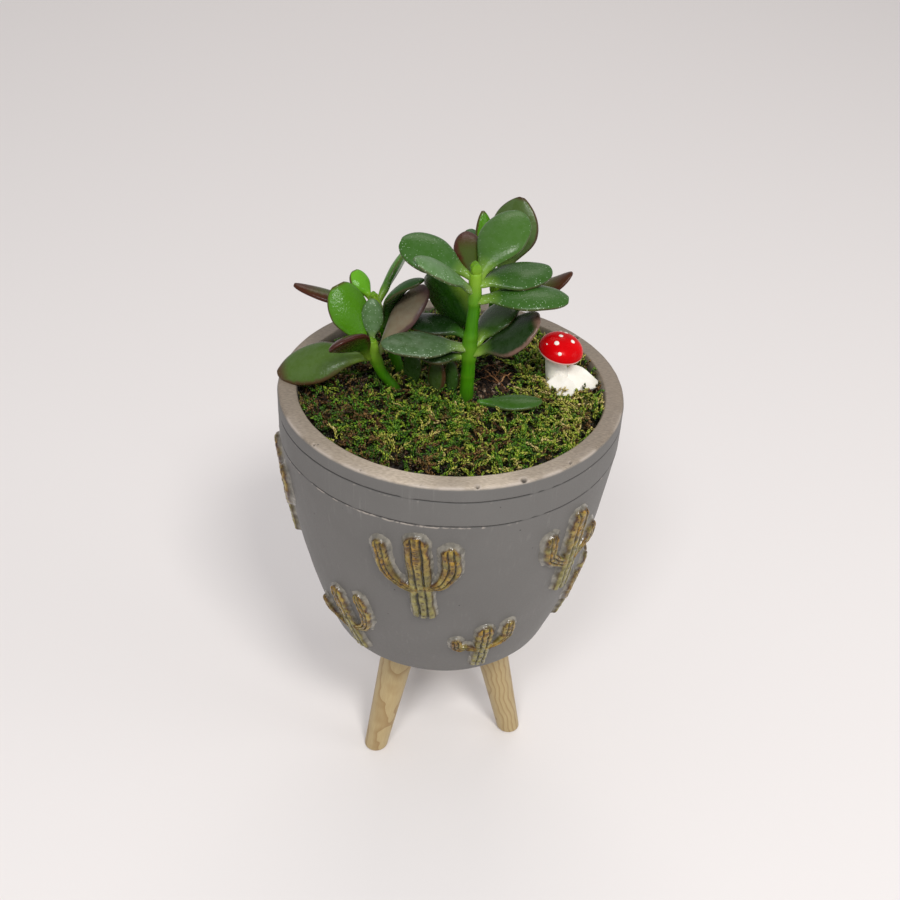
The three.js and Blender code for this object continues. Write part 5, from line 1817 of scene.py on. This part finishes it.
@dataclass
class Toadstool:
    """A small ornament: a lacquered cap with raised white dots on a plaster stalk that stands in a hewn stone."""

    x: float = 40.6
    y: float = 7.5
    lean_x: float = -0.2
    lean_y: float = 0.08
    bottom: float = 157.0
    cap_z: float = 173.2
    tilt: float = 0.12
    roll: float = 0.14
    radius: float = 7.9
    height: float = 6.2
    brow: float = 0.9
    stalk_shift: tuple[float, float] = (-2.0, 0.9)
    dot_share: float = 0.87
    dot_height: float = 0.3
    dots: tuple[Row, ...] = (
        (-132, 11, 0.95),
        (-42, 29, 1.05),
        (78, 24, 0.95),
        (-10, 56, 0.8),
        (-66, 52, 0.35),
        (168, 34, 0.8),
        (-176, 62, 0.7),
    )

    def centre(self, z: Array) -> Array:
        """The leaning middle line at heights."""
        rise = np.asarray(z, float) - self.bottom
        return np.stack([self.x + self.lean_x * rise, self.y + self.lean_y * rise, np.asarray(z, float)], -1)

    def hewn(self, block: Block) -> Shape:
        """One hewn block: its flat face is the outline, a third rounded; behind it the block widens, then ends.

        Args:
            block: which block.

        Returns:
            The closed mesh.
        """
        outline, azimuth, rise, depth = block.value
        corners = np.array(outline, float)
        out = heading(azimuth, rise)
        middle = corners.mean(axis=0)
        closed = np.vstack([corners, corners[:1]])
        t = np.linspace(0, len(corners), 121)[:-1]
        straight = np.stack([np.interp(t, np.arange(len(closed)), closed[:, k]) for k in range(3)], -1)
        ring = curve_through(closed, 121)[:-1] * 0.35 + 0.65 * straight
        share = np.array([0.02, 0.3, 0.6, 0.85, 0.95, 0.985, 1.0, 1.02, 1.04, 1.02, 0.6])
        back = np.array([0, 0, 0, 0, 0.04, 0.14, 0.35, 0.5, 0.7, 1.0, 1.1]) * np.array([1.0] * 7 + [depth] * 4)
        points = middle + (ring - middle)[None] * share[:, None, None] - out * back[:, None, None]
        bumps = 0.09 * ripple(points, 3.4, 503) + 0.04 * ripple(points, 1.3, 504)
        return tubes(points + out * bumps[..., None])

    def stalk(self) -> Shape:
        """The stalk: leaning rings that flare at the foot and have five faint flats.

        Returns:
            The closed mesh.
        """
        rows = curve_through([[157.5, 4.7], [160, 4.4], [164, 4.0], [168, 3.7], [173.2, 3.5]], 20)
        a = np.arange(48) / 48 * TURN
        flats = 1 + 0.03 * np.abs(np.sin(2.5 * a + 0.4)) * smooth(rows[:, :1], 172, 165)
        r = rows[:, 1:] * flats
        points = self.centre(rows[:, 0])[:, None] + np.stack([r * np.cos(a), r * np.sin(a), 0 * r], -1)
        points[..., :2] += self.stalk_shift
        points[..., 2] += smooth(rows[:, :1], 167, 173) * (self.tilt * r * np.sin(a) - self.roll * r * np.cos(a))
        return tubes(points)

    def on_cap(self, azimuth: Array, polar: Array, proud: float = 0.0) -> Array:
        """Points of the dome at azimuths and angles from its top, in degrees, raised by proud.

        Args:
            azimuth, polar: angles in degrees.
            proud: height over the dome in mm.

        Returns:
            Positions, with xyz last.
        """
        p = np.radians(polar)
        flat = heading(azimuth) * ((self.radius + proud) * np.sin(p))[..., None]
        flat[..., 2] = self.brow + (self.height - self.brow + proud) * np.cos(p)
        return self.set_up(flat)

    def set_up(self, own: Array) -> Array:
        """Points of the cap's own frame, tilted about X, then about Y, and moved onto the stalk.

        Args:
            own: positions in the cap's own frame.

        Returns:
            Positions in the object's frame.
        """
        cos, sin = math.cos(self.tilt), math.sin(self.tilt)
        turned = own @ np.array([[1, 0, 0], [0, cos, sin], [0, -sin, cos]])
        cos, sin = math.cos(self.roll), math.sin(self.roll)
        turned = turned @ np.array([[cos, 0, -sin], [0, 1, 0], [sin, 0, cos]])
        return turned + self.centre(self.cap_z)

    def cap(self) -> None:
        """Makes the cap: half an ellipse turned, with a rolled lower edge and a hollow underside; then its dots."""
        polar = np.radians(np.linspace(2, 90, 26))
        dome = pairs(self.radius * np.sin(polar), self.brow + (self.height - self.brow) * np.cos(polar))
        turn = np.linspace(0, math.pi, 12)[1:]
        lip = pairs(self.radius - 0.5 + 0.5 * np.cos(turn), self.brow - 0.8 * np.sin(turn))
        under = np.array([[6.4, 0.75], [4.3, 0.6], [2, 0.4], [0.3, 0.3]])
        rows = np.vstack([dome, lip, under])
        own = heading(np.arange(90) / 90 * 360)[None] * rows[:, :1, None]
        own[..., 2] = rows[:, 1:]
        bare = smooth(rows[:, 1:], self.brow + 0.32, self.brow + 0.05)
        shape = tubes(self.set_up(own), {"bare": bare})
        piece("toadstool_hat", shape, CAP, "toadstool_cap")
        dots = []
        for azimuth, polar_angle, size in self.dots:
            at = np.array(float(azimuth)), np.array(float(polar_angle))
            middle = self.on_cap(*at)
            out = unit(self.on_cap(*at, 0.5) - middle)
            across = unit(np.cross(out, [0.3, 0.2, 1.0]))
            share = np.array([-0.5, -0.1, 0.25, 0.5, 0.7, 0.8])
            spread = self.dot_share * size * np.array([0.9, 1.0, 0.97, 0.82, 0.55, 0.25])
            centres = middle + out * (share * self.dot_height)[:, None]
            dots.append(around(centres, spread, spread * 0.92, 20, across, np.cross(out, across)))
        piece("toadstool_dots", tubes(np.stack(dots)), DOT)

    def build(self) -> None:
        """Makes the stone with its stalk in place of the CAD's foot, then the cap."""
        foot = self.hewn(Block.FRONT).joined(self.hewn(Block.RIGHT)).joined(self.stalk())
        piece("toadstool_stone", foot, PLASTER, "toadstool_foot")
        self.cap()


# ---------------------------------------------------------------- studio


def placed(name: str, data: bpy.types.ID, axes: list[Array], spot: Array) -> bpy.types.Object:
    """Adds a lamp or camera with its own three axes, at a spot in metres.

    Args:
        name: its name.
        data: the lamp or the camera.
        axes: its X, Y and Z axes as unit vectors.
        spot: where it stands, in metres.

    Returns:
        The object.
    """
    made = bpy.data.objects.new(name, data)
    turn = np.eye(4)
    turn[:3] = np.column_stack([*axes, spot])
    made.matrix_world = Matrix(turn.tolist())
    bpy.context.scene.collection.objects.link(made)
    return made


@dataclass(frozen=True)
class Softbox:
    """A rectangular lamp: where it is, what it faces, its width and height, all in metres, its watts and its tint."""

    name: str
    spot: Row
    target: Row
    size: Row
    power: float
    tint: str

    def build(self) -> None:
        """Makes the lamp, which shines against its own Z axis."""
        light = bpy.data.lights.new(self.name, "AREA")
        light.shape = "RECTANGLE"
        light.size, light.size_y = self.size
        light.energy = self.power
        light.color = linear(self.tint)[:3]
        back = unit(np.array(self.spot, float) - np.array(self.target, float))
        across = unit(np.cross(Z_AXIS, back) + [1e-6, 0, 0])
        placed(self.name, light, [across, np.cross(back, across), back], self.spot)


@dataclass
class Studio:
    """A pale seamless floor, soft lights and the photograph's camera."""

    floor_size: float = 6.0
    eye: Row = (0.792, -351.65, 389.9)
    elevation: float = 35.96
    roll: float = 2.99
    lens: float = 48.0
    sensor: float = 36.0
    lamps: tuple[Softbox, ...] = (
        Softbox("softbox_right", (0.36, -0.86, 1.3), (0, 0, 0.12), (0.34, 0.3), 11.0, "fffdfa"),
        Softbox("softbox_left", (-0.26, -0.95, 1.2), (0, 0, 0.12), (0.3, 0.3), 6.0, "fbfcff"),
        Softbox("softbox_back", (0, 1.35, 1.6), (0, 0.75, 0), (1.2, 0.7), 6.2, "fff6ef"),
        Softbox("softbox_side", (1.05, -0.2, 0.5), (0, 0, 0.17), (0.45, 0.5), 1.6, "ffffff"),
    )

    def floor(self) -> None:
        """A wide sheet of matt paper."""
        half = self.floor_size / 2
        mesh = bpy.data.meshes.new("floor")
        corners = [(-half, -half, 0), (half, -half, 0), (half, half, 0), (-half, half, 0)]
        mesh.from_pydata(corners, [], [(0, 1, 2, 3)])
        paper = bpy.data.materials.new("floor_paper")
        paper.use_nodes = True
        skin = paper.node_tree.nodes["Principled BSDF"]
        skin.inputs["Base Color"].default_value = linear("e6e2e0")
        skin.inputs["Roughness"].default_value = 0.75
        mesh.materials.append(paper)
        made = bpy.data.objects.new("floor", mesh)
        bpy.context.scene.collection.objects.link(made)

    def camera(self) -> None:
        """The camera: looks along +Y and down by the elevation, and leans by the roll."""
        e, r = math.radians(self.elevation), math.radians(self.roll)
        back = np.array([0, -math.cos(e), math.sin(e)])
        rise = np.array([0, math.sin(e), math.cos(e)])
        across = math.cos(r) * X_AXIS + math.sin(r) * rise
        up = math.cos(r) * rise - math.sin(r) * X_AXIS
        data = bpy.data.cameras.new("camera")
        data.lens, data.sensor_width = self.lens, self.sensor
        data.clip_start, data.clip_end = 0.01, 20.0
        bpy.context.scene.camera = placed("camera", data, [across, up, back], np.array(self.eye) * MM)

    def sky(self) -> None:
        """Even pale light from all round."""
        world = bpy.data.worlds.new("studio")
        world.use_nodes = True
        background = world.node_tree.nodes["Background"]
        background.inputs["Color"].default_value = linear("f2f1f4")
        background.inputs["Strength"].default_value = 0.52
        bpy.context.scene.world = world

    def build(self) -> None:
        """Sets up the floor, the lights and the camera."""
        bpy.context.scene.view_settings.view_transform = "Standard"
        self.floor()
        self.sky()
        for lamp in self.lamps:
            lamp.build()
        self.camera()


def main() -> None:
    """Builds the object from the pot up, then the studio."""
    logging.basicConfig(level=logging.INFO, format="%(name)s: %(message)s")
    pot = Pot()
    pot.build()
    Reliefs().build(pot)
    Legs().build()
    patch = BarePatch()
    Soil(patch).build(pot)
    Moss(patch).build()
    Crassula().build()
    Toadstool().build()
    Studio().build()


if __name__ == "__main__":
    main()
